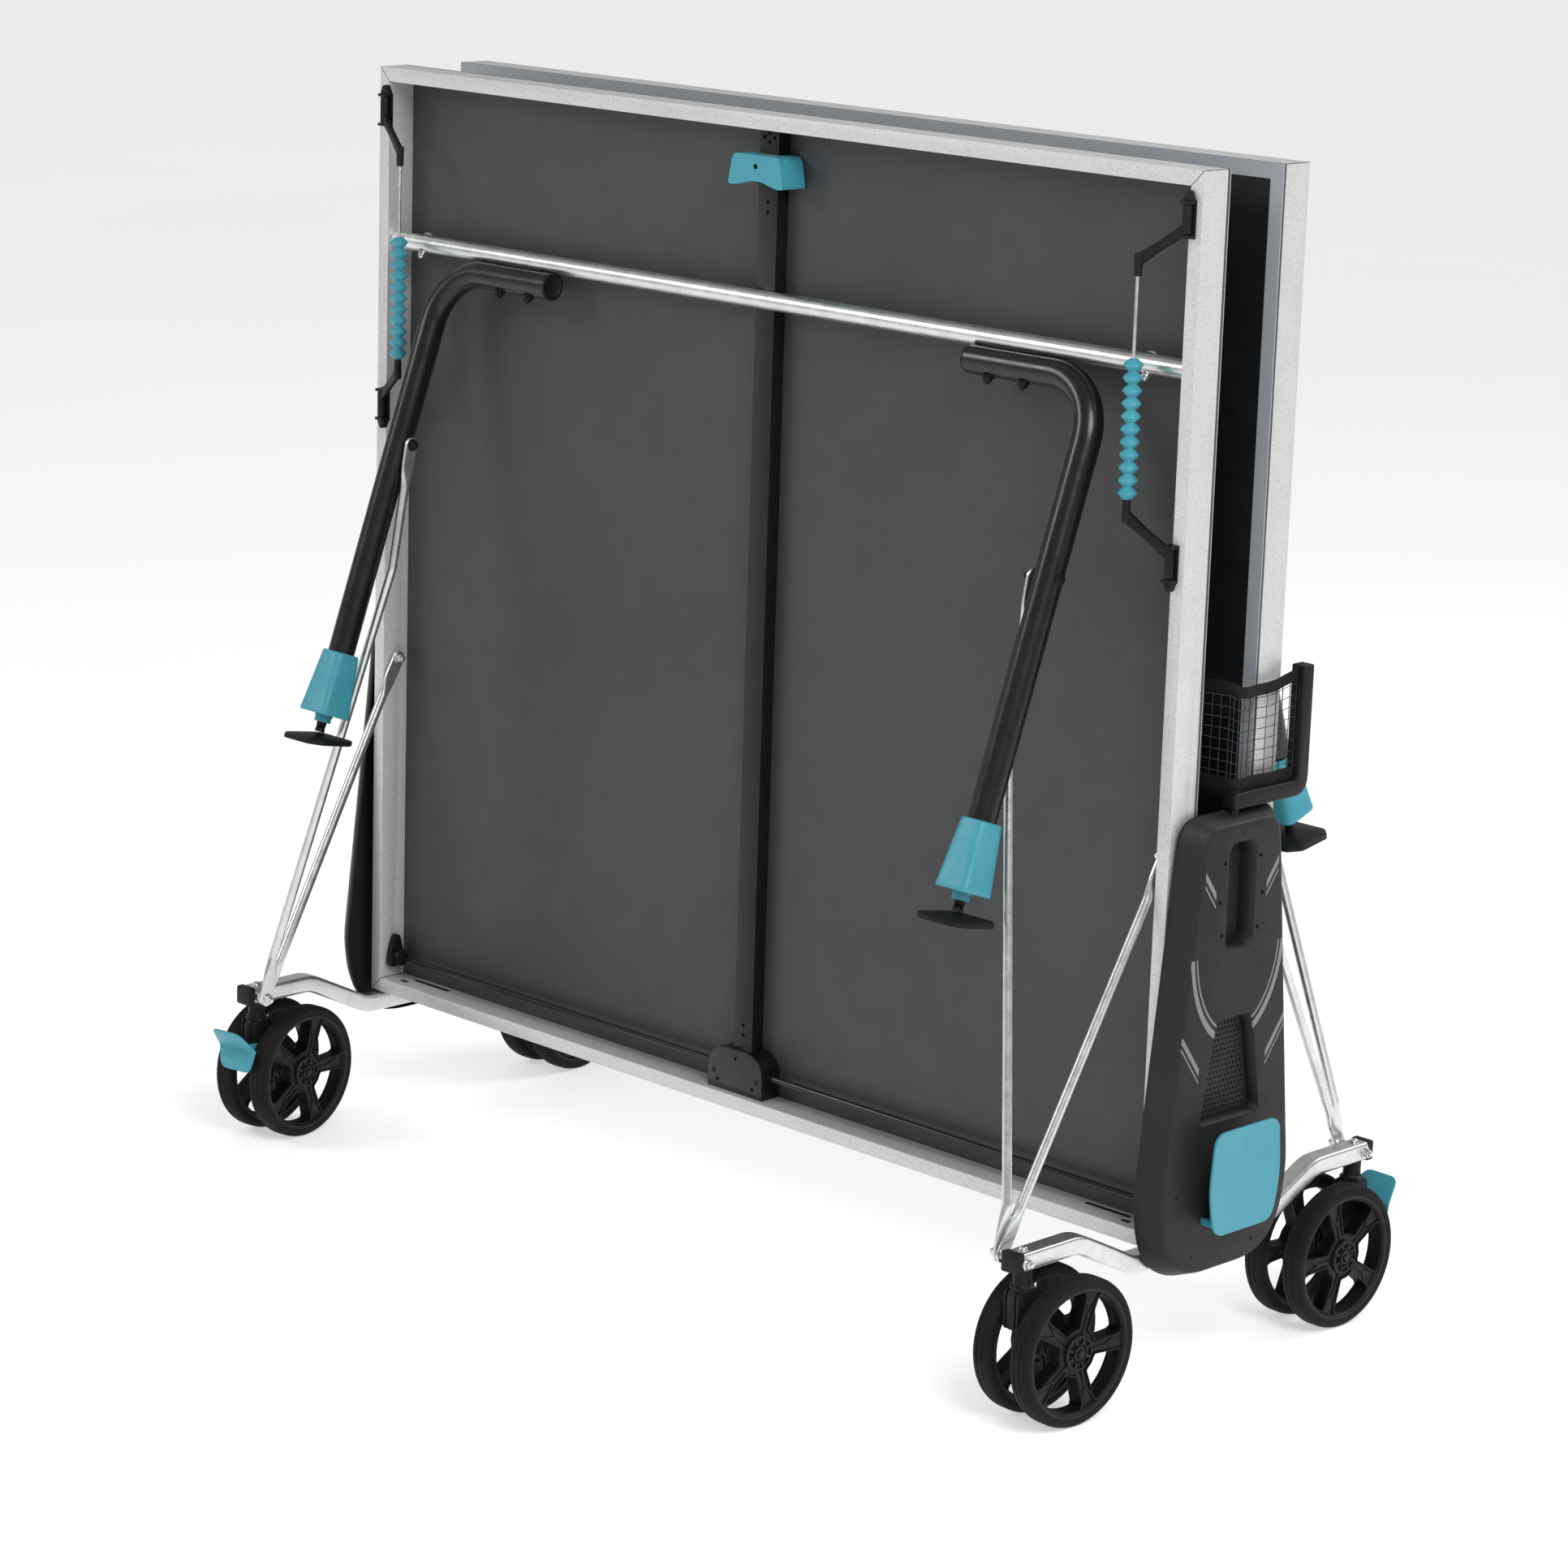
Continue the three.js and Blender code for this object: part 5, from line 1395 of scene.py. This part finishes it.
@dataclass
class Carriage:
    """The wheeled base: tubes, crossbar, end caps and bolts."""

    fasteners: Fasteners
    tube_x: float = 751.5
    tube_end: float = 352.0
    tube_z: float = 222.5
    tube_width: float = 28.0
    tube_height: float = 25.0
    caster_y: float = 331.0
    pivot_y: float = 338.5
    ramp_outer: float = 236.0
    ramp_inner: float = 128.0
    ramp_low: float = 169.5
    bend: float = 60.0

    def build(self) -> None:
        """Builds the carriage."""
        bar = Bench.from_cad("carriage_crossbar", "crossbar", 2, 3)
        place(bar, "carriage", Finish.ZINC, ["carriage_crossbar"])
        for side, sign in SIDES:
            tube = self.tube(f"base_tube_{side}", sign)
            place(tube, "carriage", Finish.ZINC, [f"carriage_tube_{side}"])
            caps, bolts = [], []
            x = sign * self.tube_x
            for end in (-1, 1):
                y = end * self.tube_end
                low, high = sorted((y - end * 9, y + end * 4))
                caps.append(Bench.block(
                    "cap", (x - 15, low, self.tube_z - 13.6), (x + 15, high, self.tube_z + 13.6), 3, 3))
                bolts.append(self.fasteners.put(
                    self.fasteners.dome, "dome", (x, end * self.caster_y, self.tube_z + 12.3), (0, 0, 1)))
                outer = sign * (self.tube_x + self.tube_width / 2 - 0.2)
                bolts.append(self.fasteners.put(
                    self.fasteners.nut, "nut", (outer, end * self.pivot_y, self.tube_z - 1), (sign, 0, 0)))
            place(Bench.join(f"tube_caps_{side}", caps), "carriage", Finish.BLACK)
            place(Bench.join(f"tube_bolts_{side}", bolts), "carriage", Finish.BOLT)

    def tube(self, name: str, sign: int) -> bpy.types.Object:
        """A square tube with rounded corners, stepped down under the housing."""
        x = sign * self.tube_x
        corners = [
            Vector((x, y, z)) for y, z in (
                (-self.tube_end, self.tube_z), (-self.ramp_outer, self.tube_z),
                (-self.ramp_inner, self.ramp_low), (self.ramp_inner, self.ramp_low),
                (self.ramp_outer, self.tube_z), (self.tube_end, self.tube_z))]
        run = bent(corners, self.bend, 10)
        half_w, half_h = self.tube_width / 2, self.tube_height / 2
        section = rounded([
            (-half_w, -half_h, 5), (half_w, -half_h, 5), (half_w, half_h, 5), (-half_w, half_h, 5)], 4)
        rings = []
        for i, point in enumerate(run):
            way = (run[min(i + 1, len(run) - 1)] - run[max(i - 1, 0)]).normalized()
            up = Vector((1, 0, 0)).cross(way).normalized()
            rings.append([point + Vector((u, 0, 0)) + up * v for u, v in section])
        return Bench.loft(name, rings)


@dataclass
class NetSet:
    """The net between its posts: square mesh, top tape, lower band and the two posts."""

    pitch: float = 14.0
    cord: float = 1.5
    bottom: float = 765.0
    top: float = 912.5
    sag: float = 16.0
    end: float = 765.0
    tape: float = 15.0
    low_band: float = 24.0
    post_x: float = 779.5
    post_far: float = 135.5
    post_low: float = 752.0
    post_top: float = 921.5
    post_width: float = 21.0

    def crest(self, x: float) -> float:
        """Height of the slack top edge."""
        return self.top - self.sag * (1 - (x / self.end) ** 4)

    def build(self) -> None:
        """Builds the net's middle, its two ends and the posts."""
        for side, sign in SIDES:
            self.post(side, sign)
        columns = round(2 * self.end / self.pitch)
        line = []
        for i in range(columns + 1):
            x = -self.end + 2 * self.end * i / columns
            line.append((Vector((x, 0.8 * math.sin(x / 61), 0)), self.crest(x)))
        middle = self.panel("net_mesh", line)
        place(middle, "carriage", Finish.CORD, ["net"])
        bands = [
            self.band("net_tape", line, self.tape, True),
            self.band("net_band", line, self.low_band, False),
        ]
        for band in bands:
            place(band, "carriage", Finish.TAPE)
        for side, sign in SIDES:
            self.net_end(side, sign)

    def net_end(self, side: str, sign: int) -> None:
        """The slack length from the middle of the net to the post's upright."""
        corners = [(765, 0.0), (776, 1.5), (781, 12), (777, 38), (781.5, 66), (778, 92), (779.5, 114)]
        run = [Vector((sign * x, y, 0)) for x, y in corners]
        dense: list[Vector] = []
        for i in range(len(run) - 1):
            before, after = run[max(i - 1, 0)], run[min(i + 2, len(run) - 1)]
            for step in range(3):
                t = step / 3
                a, b = run[i], run[i + 1]
                point = 0.5 * (
                    2 * a + (b - before) * t + (2 * before - 5 * a + 4 * b - after) * t * t
                    + (3 * a - before - 3 * b + after) * t * t * t)
                dense.append(point)
        dense.append(run[-1])
        step_count = 10
        line = []
        for i in range(step_count + 1):
            place_at = i * (len(dense) - 1) / step_count
            k = min(int(place_at), len(dense) - 2)
            point = dense[k].lerp(dense[k + 1], place_at - k)
            share = i / step_count
            line.append((point, self.top - 9 * math.sin(math.pi * share) + 5 * share))
        mesh = self.panel(f"net_mesh_{side}", line)
        tape = self.band(f"net_tape_{side}", line, self.tape, True)
        band = self.band(f"net_band_{side}", line, self.low_band, False)
        for piece, finish in ((mesh, Finish.CORD), (tape, Finish.TAPE), (band, Finish.TAPE)):
            piece.data.materials.clear()
            piece.data.materials.append(PALETTE[finish])
            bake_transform(piece)

    def panel(self, name: str, line: Sequence[tuple[Vector, float]]) -> bpy.types.Object:
        """Square net mesh hung between its bottom and its top edge along a line.

        Args:
            name: Name of the piece.
            line: Places along the net and the height of its top edge there.

        Returns:
            The mesh as cords.
        """
        rows = 10
        points, faces = [], []
        for place_at, top in line:
            for row in range(rows + 1):
                share = row / rows
                height = self.bottom + 2 + (top - 6 - self.bottom) * share
                points.append(Vector((place_at.x, place_at.y, height)) * MM)
        for i in range(len(line) - 1):
            for row in range(rows):
                a = i * (rows + 1) + row
                faces.append((a, a + rows + 1, a + rows + 2, a + 1))
        mesh = bpy.data.meshes.new(name)
        mesh.from_pydata(points, [], faces)
        obj = bpy.data.objects.new(name, mesh)
        bpy.context.scene.collection.objects.link(obj)
        Bench.modify(
            obj, "WIREFRAME", thickness=self.cord * MM, use_even_offset=False, use_replace=True,
            use_boundary=True, offset=0)
        return Bench.smooth(obj, 100)

    def band(
        self, name: str, line: Sequence[tuple[Vector, float]], height: float, upper: bool,
    ) -> bpy.types.Object:
        """The folded tape along the top edge, or the band along the lower edge."""
        rings = []
        for i, (place_at, top) in enumerate(line):
            before = line[max(i - 1, 0)][0]
            after = line[min(i + 1, len(line) - 1)][0]
            way = (after - before).normalized()
            across = Vector((-way.y, way.x, 0))
            high = top if upper else self.bottom + height
            low = high - height
            thick = 1.3
            ring = [
                (thick * 0.5, high), (thick, high - 2), (thick, low + 1), (thick * 0.4, low),
                (-thick * 0.4, low), (-thick, low + 1), (-thick, high - 2), (-thick * 0.5, high),
            ]
            foot = Vector((place_at.x, place_at.y, 0))
            rings.append([foot + across * u + Vector((0, 0, v)) for u, v in ring])
        return Bench.loft(name, rings)

    def post(self, side: str, sign: int) -> None:
        """One L-shaped post with a groove for the net and a pin in the housing."""
        x = sign * self.post_x
        top, low, far, wide = self.post_top, self.post_low, self.post_far, self.post_width
        half = wide / 2
        outline = rounded([
            (-half, low, 4), (far, low, 26), (far, top, 3), (far - wide, top, 3),
            (far - wide, low + wide, 8), (-half, low + wide, 4),
        ], 6)
        body = Bench.slab("post", outline, Plane.YZ, x - half, x + half, 2.2, 3)
        groove = Bench.block("groove", (x - 2, far - 30, 800), (x + 2, far - 14, 915), 0)
        Bench.cut(body, groove)
        pin = Bench.bar("pin", (x, 0, 724), (x, 0, 753), 14, 24, 1)
        head = Bench.bar("head", (x, 0, 772.5), (x, 0, 776), 16, 24, 1)
        Bench.smooth(body)
        place(
            Bench.join(f"post_{side}", [body, pin, head]), f"net_post_{side}", Finish.BLACK,
            [f"net_post_{side}"])


# ------------------------------------------------------------------ casters


@dataclass
class Casters:
    """Four twin-wheel casters, two of them with a brake pedal."""

    radius: float = 98.0
    width: float = 30.0
    rim: float = 19.0
    hub: float = 23.0
    pitch: float = 65.5
    trail: float = 60.0
    tube_x: float = 751.5
    from_middle: float = 330.0

    HEADINGS = {"front_left": 7.6, "front_right": -3.4, "rear_left": 4.5, "rear_right": -2.2}
    BRAKED = ("front_left", "rear_right")

    def build(self) -> None:
        """Builds the patterns once and copies them to each corner."""
        tyre, disc, cap = self.tyre(), self.disc(), self.cap()
        fork, upper, ribs, pin = self.fork(), *self.pedal()
        for corner, heading in self.HEADINGS.items():
            end, side = corner.split("_")
            side_sign = -1 if side == "left" else 1
            end_sign = -1 if end == "front" else 1
            turned = 0.0 if end == "front" else math.pi
            stand = at(side_sign * self.tube_x, end_sign * self.from_middle, 0) @ Matrix.Rotation(
                turned + math.radians(heading), 4, "Z")
            place(
                Bench.copy(fork, f"fork_{corner}", stand), f"caster_{corner}", Finish.BLACK,
                [f"caster_fork_{corner}"])
            for place_sign in (-1, 1):
                world_side = place_sign if end == "front" else -place_sign
                where = "outer" if world_side == side_sign else "inner"
                body = f"wheel_{corner}_{where}"
                move = stand @ at(place_sign * self.pitch / 2, self.trail, self.radius) @ Matrix.Rotation(
                    place_sign * math.pi / 2, 4, "Y")
                place(Bench.copy(tyre, f"tyre_{corner}_{where}", move), body, Finish.RUBBER)
                place(Bench.copy(disc, f"disc_{corner}_{where}", move), body, Finish.BLACK, [body])
                place(Bench.copy(cap, f"axle_end_{corner}_{where}", move), body, Finish.BLACK)
            if corner in self.BRAKED:
                body = f"brake_pedal_{corner}"
                plate = Bench.copy(upper, f"pedal_{corner}", stand)
                place(plate, body, Finish.TEAL, [body])
                place(Bench.copy(ribs, f"pedal_ribs_{corner}", stand), body, Finish.TEAL)
                place(Bench.copy(pin, f"pedal_pin_{corner}", stand), body, Finish.BOLT)
        for pattern in (tyre, disc, cap, fork, upper, ribs, pin):
            bpy.data.objects.remove(pattern)

    def tyre(self) -> bpy.types.Object:
        """The tyre: a rounded tread with two shallow grooves."""
        r, h = self.radius, self.width / 2
        ring = [
            (r - 12, -h + 0.6), (r - 7.5, -h), (r - 3.6, -h + 0.8), (r - 1.2, -h + 3.4), (r - 0.1, -h + 7),
            (r, -h + 9.4), (r - 0.8, -h + 10), (r - 0.8, -h + 11), (r, -h + 11.6), (r, h - 11.6),
            (r - 0.8, h - 11), (r - 0.8, h - 10), (r, h - 9.4), (r - 0.1, h - 7), (r - 1.2, h - 3.4),
            (r - 3.6, h - 0.8), (r - 7.5, h), (r - 12, h - 0.6), (r - 12, -h + 0.6),
        ]
        return Bench.turned("tyre", ring, 72)

    def window(self, index: int, shrink: float) -> list[Point2]:
        """The outline of one opening between two spokes.

        Args:
            index: Which opening.
            shrink: How far inside the opening's edge the outline runs.

        Returns:
            Points (u, v) round the opening.
        """
        outer, inner = self.radius - self.rim - 1 - shrink, self.hub + 9 + shrink
        middle = math.pi / 2 + (2 * index + 1) * math.pi / 5
        share = math.pi / 5
        wide = share - (11.5 + shrink) / outer
        narrow = share - (8.5 + shrink) / inner
        corners = []
        for k in range(7):
            a = middle - wide + 2 * wide * k / 6
            corners.append((outer * math.cos(a), outer * math.sin(a), 5.5 if k in (0, 6) else 0))
        for k in range(3):
            a = middle + narrow - narrow * k
            corners.append((inner * math.cos(a), inner * math.sin(a), 2.6 if k in (0, 2) else 0))
        return rounded(corners, 5)

    def disc(self) -> bpy.types.Object:
        """The wheel's disc: rim, ribbed spokes and hub, with its axis on Z."""
        r = self.radius - 11.6
        h = self.width / 2
        web = Bench.bar("web", (0, 0, -9), (0, 0, 9), 2 * (self.radius - self.rim + 2), 72, 0)
        cutters = [
            Bench.slab("cutter", self.window(i, 0), Plane.XY, -20, 20, 0) for i in range(5)]
        Bench.cut(web, *cutters)
        Bench.soften(web, 1.0, 2, SHARP_DEGREES)
        inner = self.radius - self.rim
        rim = Bench.turned("rim", [
            (r, -h + 1.4), (r, h - 1.4), (r - 1.2, h - 0.5), (inner + 2.4, h - 0.5), (inner + 1.2, h - 1.6),
            (inner, h - 6), (inner - 1.4, 6), (inner - 1.4, -6), (inner, -h + 6), (inner + 1.2, -h + 1.6),
            (inner + 2.4, -h + 0.5), (r - 1.2, -h + 0.5), (r, -h + 1.4),
        ], 72)
        pieces = [web, rim]
        for i in range(5):
            outside, inside = self.window(i, -1.8), self.window(i, 0.0)
            pieces.append(self.collar("lip", outside, inside, 11.2))
        pieces += [self.ribs(face) for face in (-1, 1)]
        hub = Bench.turned("hub", [
            (6, -h), (9, -h), (9.6, -h + 0.8), (9.6, -h + 3.6), (12, -h + 3.6), (12, -h + 1.4),
            (13, -h + 0.6), (21.5, -h + 0.6), (self.hub, -h + 2), (self.hub, h - 2), (21.5, h - 0.6),
            (13, h - 0.6),
            (12, h - 1.4), (12, h - 3.6), (9.6, h - 3.6), (9.6, h - 0.8), (9, h), (6, h), (6, -h),
        ], 48)
        pockets = []
        for face in (-1, 1):
            for k in range(8):
                a = math.pi * k / 4
                low, high = sorted((face * (h - 3), face * (h + 2)))
                corners = [
                    (radius * math.cos(a + turn), radius * math.sin(a + turn), 0.7)
                    for radius, turn in ((13.8, -0.27), (20.2, -0.31), (20.2, 0.31), (13.8, 0.27))]
                pockets.append(Bench.slab("pocket", rounded(corners, 2), Plane.XY, low, high, 0))
        Bench.cut(hub, Bench.join("pockets", pockets))
        Bench.smooth(hub, 30)
        return Bench.join("disc", [*pieces, hub])

    def collar(
        self, name: str, outside: Sequence[Point2], inside: Sequence[Point2], height: float,
    ) -> bpy.types.Object:
        """A raised wall between two outlines, through the web."""
        def ring(points: Sequence[Point2], z: float) -> list[Vector]:
            """An outline at a height."""
            return [Vector((u, v, z)) for u, v in points]

        rings = [
            ring(outside, -height), ring(outside, height), ring(inside, height), ring(inside, -height),
            ring(outside, -height),
        ]
        return Bench.soften(Bench.loft(name, rings, closed=False), 0.5, 2, SHARP_DEGREES)

    def ribs(self, face: int) -> bpy.types.Object:
        """The forked ribs on the spokes of one face."""
        low, high = sorted((face * 8.5, face * 10.6))
        made = []
        for k in range(5):
            a = math.pi / 2 + 2 * k * math.pi / 5
            radial, across = Vector((math.cos(a), math.sin(a))), Vector((-math.sin(a), math.cos(a)))
            fork = radial * 50
            root = radial * (self.hub - 1)
            lines = [(root, fork)]
            foot = radial * (self.radius - self.rim + 0.5)
            lines += [(fork, foot + across * way * 15) for way in (-1, 1)]
            for start, end in lines:
                way = (end - start).normalized()
                side = Vector((-way.y, way.x)) * 0.9
                quad = [start + side, start - side, end - side, end + side]
                made.append(Bench.slab("rib", [(p.x, p.y) for p in quad], Plane.XY, low, high, 0.3))
        return Bench.join("ribs", made)

    def cap(self) -> bpy.types.Object:
        """The end of the axle in the hub."""
        h = self.width / 2
        return Bench.turned("axle_end", [
            (0, h + 0.6), (2.6, h + 0.5), (4.6, h - 0.6), (5.4, h - 2), (5.4, -h + 2), (0, -h + 2),
        ], 32)

    def fork(self) -> bpy.types.Object:
        """The fork: swivel stem, ribbed body and axle, in the caster's own frame."""
        outline = rounded([
            (-19, 131, 8), (-19, 185, 8), (17, 185, 8), (76, 128, 14), (76, 82, 12), (44, 82, 12),
            (30, 116, 14), (2, 131, 6),
        ], 5)
        core = Bench.slab("core", outline, Plane.YZ, -7, 7, 1.4)
        plates = []
        for side in (-1, 1):
            start, end = sorted((side * 9.5, side * 13))
            plates.append(Bench.slab("plate", outline, Plane.YZ, start, end, 1.0))
        ribs = []
        for y, z, length in ((-10, 158, 46), (12, 158, 46), (34, 145, 44), (56, 118, 50)):
            ribs.append(Bench.block(
                "rib", (-12.6, y - 1.5, z - length / 2), (12.6, y + 1.5, z + length / 2), 0.6))
        neck = Bench.turned("neck", [
            (0, 183), (16, 183), (16, 188), (13, 190), (12, 192), (12, 209.6), (0, 209.6),
        ], 32)
        axle = Bench.bar("axle", (-49.5, 60, 98), (49.5, 60, 98), 9.6, 24, 0.8)
        return Bench.join("fork", [core, *plates, *ribs, neck, axle])

    def pedal(self) -> tuple[bpy.types.Object, bpy.types.Object, bpy.types.Object]:
        """The brake pedal: two wings and ears, the ribs on its lower wing, and its pin."""
        fold, pivot = (-39.0, 147.6), (-14.0, 146.0)
        top, bottom = (-65.0, 178.0), (-44.5, 115.0)

        def lay(obj: bpy.types.Object, tip: Point2) -> bpy.types.Object:
            """Stands a wing drawn in XY up from the fold towards its tip."""
            lean = math.atan2(tip[1] - fold[1], tip[0] - fold[0])
            obj.data.transform(at(0, *fold) @ Matrix.Rotation(lean, 4, "X"))
            return obj

        def length(tip: Point2) -> float:
            """Distance from the fold to a tip."""
            return math.hypot(tip[0] - fold[0], tip[1] - fold[1])

        wings = []
        for tip, half in ((top, 27.0), (bottom, 28.5)):
            reach = length(tip)
            outline = rounded([(-35.4, 0), (35.4, 0), (half, reach, 12), (-half, reach, 12)], 8)
            wings.append(lay(Bench.slab("wing", outline, Plane.XY, -1.45, 1.45, 1.0, 3), tip))
        crease = Bench.bar("crease", (-35.4, *fold), (35.4, *fold), 3.1, 20, 0.3)
        ears = []
        for side in (-1, 1):
            start, end = sorted((side * 13.6, side * 16.4))
            outline = rounded([
                (fold[0], fold[1] - 9), (pivot[0] + 2, pivot[1] - 6, 3), (pivot[0] + 5, pivot[1], 4),
                (pivot[0] + 2, pivot[1] + 6, 3), (fold[0], fold[1] + 7),
            ], 4)
            ears.append(Bench.slab("ear", outline, Plane.YZ, start, end, 0.6))
        plate = Bench.join("pedal", [*wings, crease, *ears])
        ribs = []
        for k in range(5):
            reach = 6 + 5 * k
            wide = 33.4 - 5.6 * reach / length(bottom)
            rib = Bench.block("rib", (-wide, reach - 1, 1.2), (wide, reach + 1, 2.4), 0.5)
            ribs.append(lay(rib, bottom))
            if k < 3:
                other = Bench.block("rib", (-wide, reach - 1, -2.3), (wide, reach + 1, -1.2), 0.5)
                ribs.append(lay(other, bottom))
        ribs_piece = Bench.join("pedal_ribs", ribs)
        pin = Bench.bar("pin", (-17.6, *pivot), (17.6, *pivot), 6, 20, 0.8)
        return plate, ribs_piece, pin


# ------------------------------------------------------------------ studio


@dataclass
class Studio:
    """The camera, the floor and the lights."""

    focal: float = 5685.2 / 1932  # in widths of the frame
    sensor: float = 36.0
    yaw: float = math.radians(44.356)
    pitch: float = math.radians(13.719)
    roll: float = math.radians(-1.811)
    eye: Point3 = (4.3114, -4.4212, 2.1395)
    room_light: float = 0.4
    room_seen: float = 1.0
    floor_glow: float = 0.5

    def build(self) -> None:
        """Builds the studio."""
        self.camera()
        self.floor()
        self.lights()

    def camera(self) -> None:
        """Stands the camera."""
        a, p, r = self.yaw, self.pitch, self.roll
        forward = Vector((-math.sin(a) * math.cos(p), math.cos(a) * math.cos(p), -math.sin(p)))
        right = Vector((math.cos(a), math.sin(a), 0))
        down = forward.cross(right)
        across = math.cos(r) * right + math.sin(r) * down
        below = -math.sin(r) * right + math.cos(r) * down
        matrix = Matrix((across, -below, -forward)).transposed().to_4x4()
        matrix.translation = Vector(self.eye)
        data = bpy.data.cameras.new("camera")
        data.lens = self.focal * self.sensor
        data.sensor_width = self.sensor
        data.clip_end = 100
        camera = bpy.data.objects.new("camera", data)
        bpy.context.scene.collection.objects.link(camera)
        camera.matrix_world = matrix
        bpy.context.scene.camera = camera

    def floor(self) -> None:
        """Lays a wide pale floor."""
        bpy.ops.object.select_all(action="DESELECT")
        bpy.ops.mesh.primitive_plane_add(size=60, location=(0, 0, 0))
        floor = bpy.context.object
        floor.name = "floor"
        nodes = Nodes("pale_floor")
        cloud = nodes.noise(0.4, 2)
        nodes.set(
            Base_Color=nodes.blend(nodes.spread(cloud, 0, 1), grey(0.80, 0.004), grey(0.84, 0.004)),
            Roughness=0.7, Specular_IOR_Level=0.2, Emission_Color=(1, 1, 1, 1),
            Emission_Strength=self.floor_glow,
        )
        floor.data.materials.append(nodes.material)

    def lights(self) -> None:
        """Hangs the soft lights and sets the pale surroundings."""
        world = bpy.data.worlds.new("studio")
        bpy.context.scene.world = world
        world.use_nodes = True
        tree = world.node_tree
        background = tree.nodes["Background"]
        background.inputs[0].default_value = (1.0, 1.0, 1.0, 1)
        path = tree.nodes.new("ShaderNodeLightPath")
        strength = tree.nodes.new("ShaderNodeMapRange")
        strength.inputs["To Min"].default_value = self.room_light
        strength.inputs["To Max"].default_value = self.room_seen
        tree.links.new(path.outputs["Is Camera Ray"], strength.inputs["Value"])
        tree.links.new(strength.outputs[0], background.inputs[1])
        for name, where, aim, size, power in (
            ("key", (3.4, -1.6, 3.6), (0.2, 0, 0.7), 2.0, 104),
            ("fill", (-3.0, -3.4, 3.4), (0, 0, 0.8), 1.6, 58),
            ("back", (1.8, 3.8, 3.8), (0, 0, 0.8), 2.2, 90),
        ):
            data = bpy.data.lights.new(name, "AREA")
            data.energy = power
            data.shape = "DISK"
            data.size = size
            lamp = bpy.data.objects.new(name, data)
            bpy.context.scene.collection.objects.link(lamp)
            way = Vector(aim) - Vector(where)
            aimed = way.to_track_quat("-Z", "Y").to_matrix().to_4x4()
            lamp.matrix_world = Matrix.Translation(where) @ aimed
        bpy.context.scene.view_settings.view_transform = "Standard"


def main() -> None:
    """Builds the studio and every piece."""
    Studio().build()
    fasteners = Fasteners()
    for name in ("front", "rear"):
        Half(fasteners, name).build()
    for side, sign in SIDES:
        Counter(side, sign).build()
        Housing(fasteners, side, sign).build()
    Carriage(fasteners).build()
    NetSet().build()
    Casters().build()
    fasteners.clear()


if __name__ == "__main__":
    logging.basicConfig(level=logging.INFO)
    main()
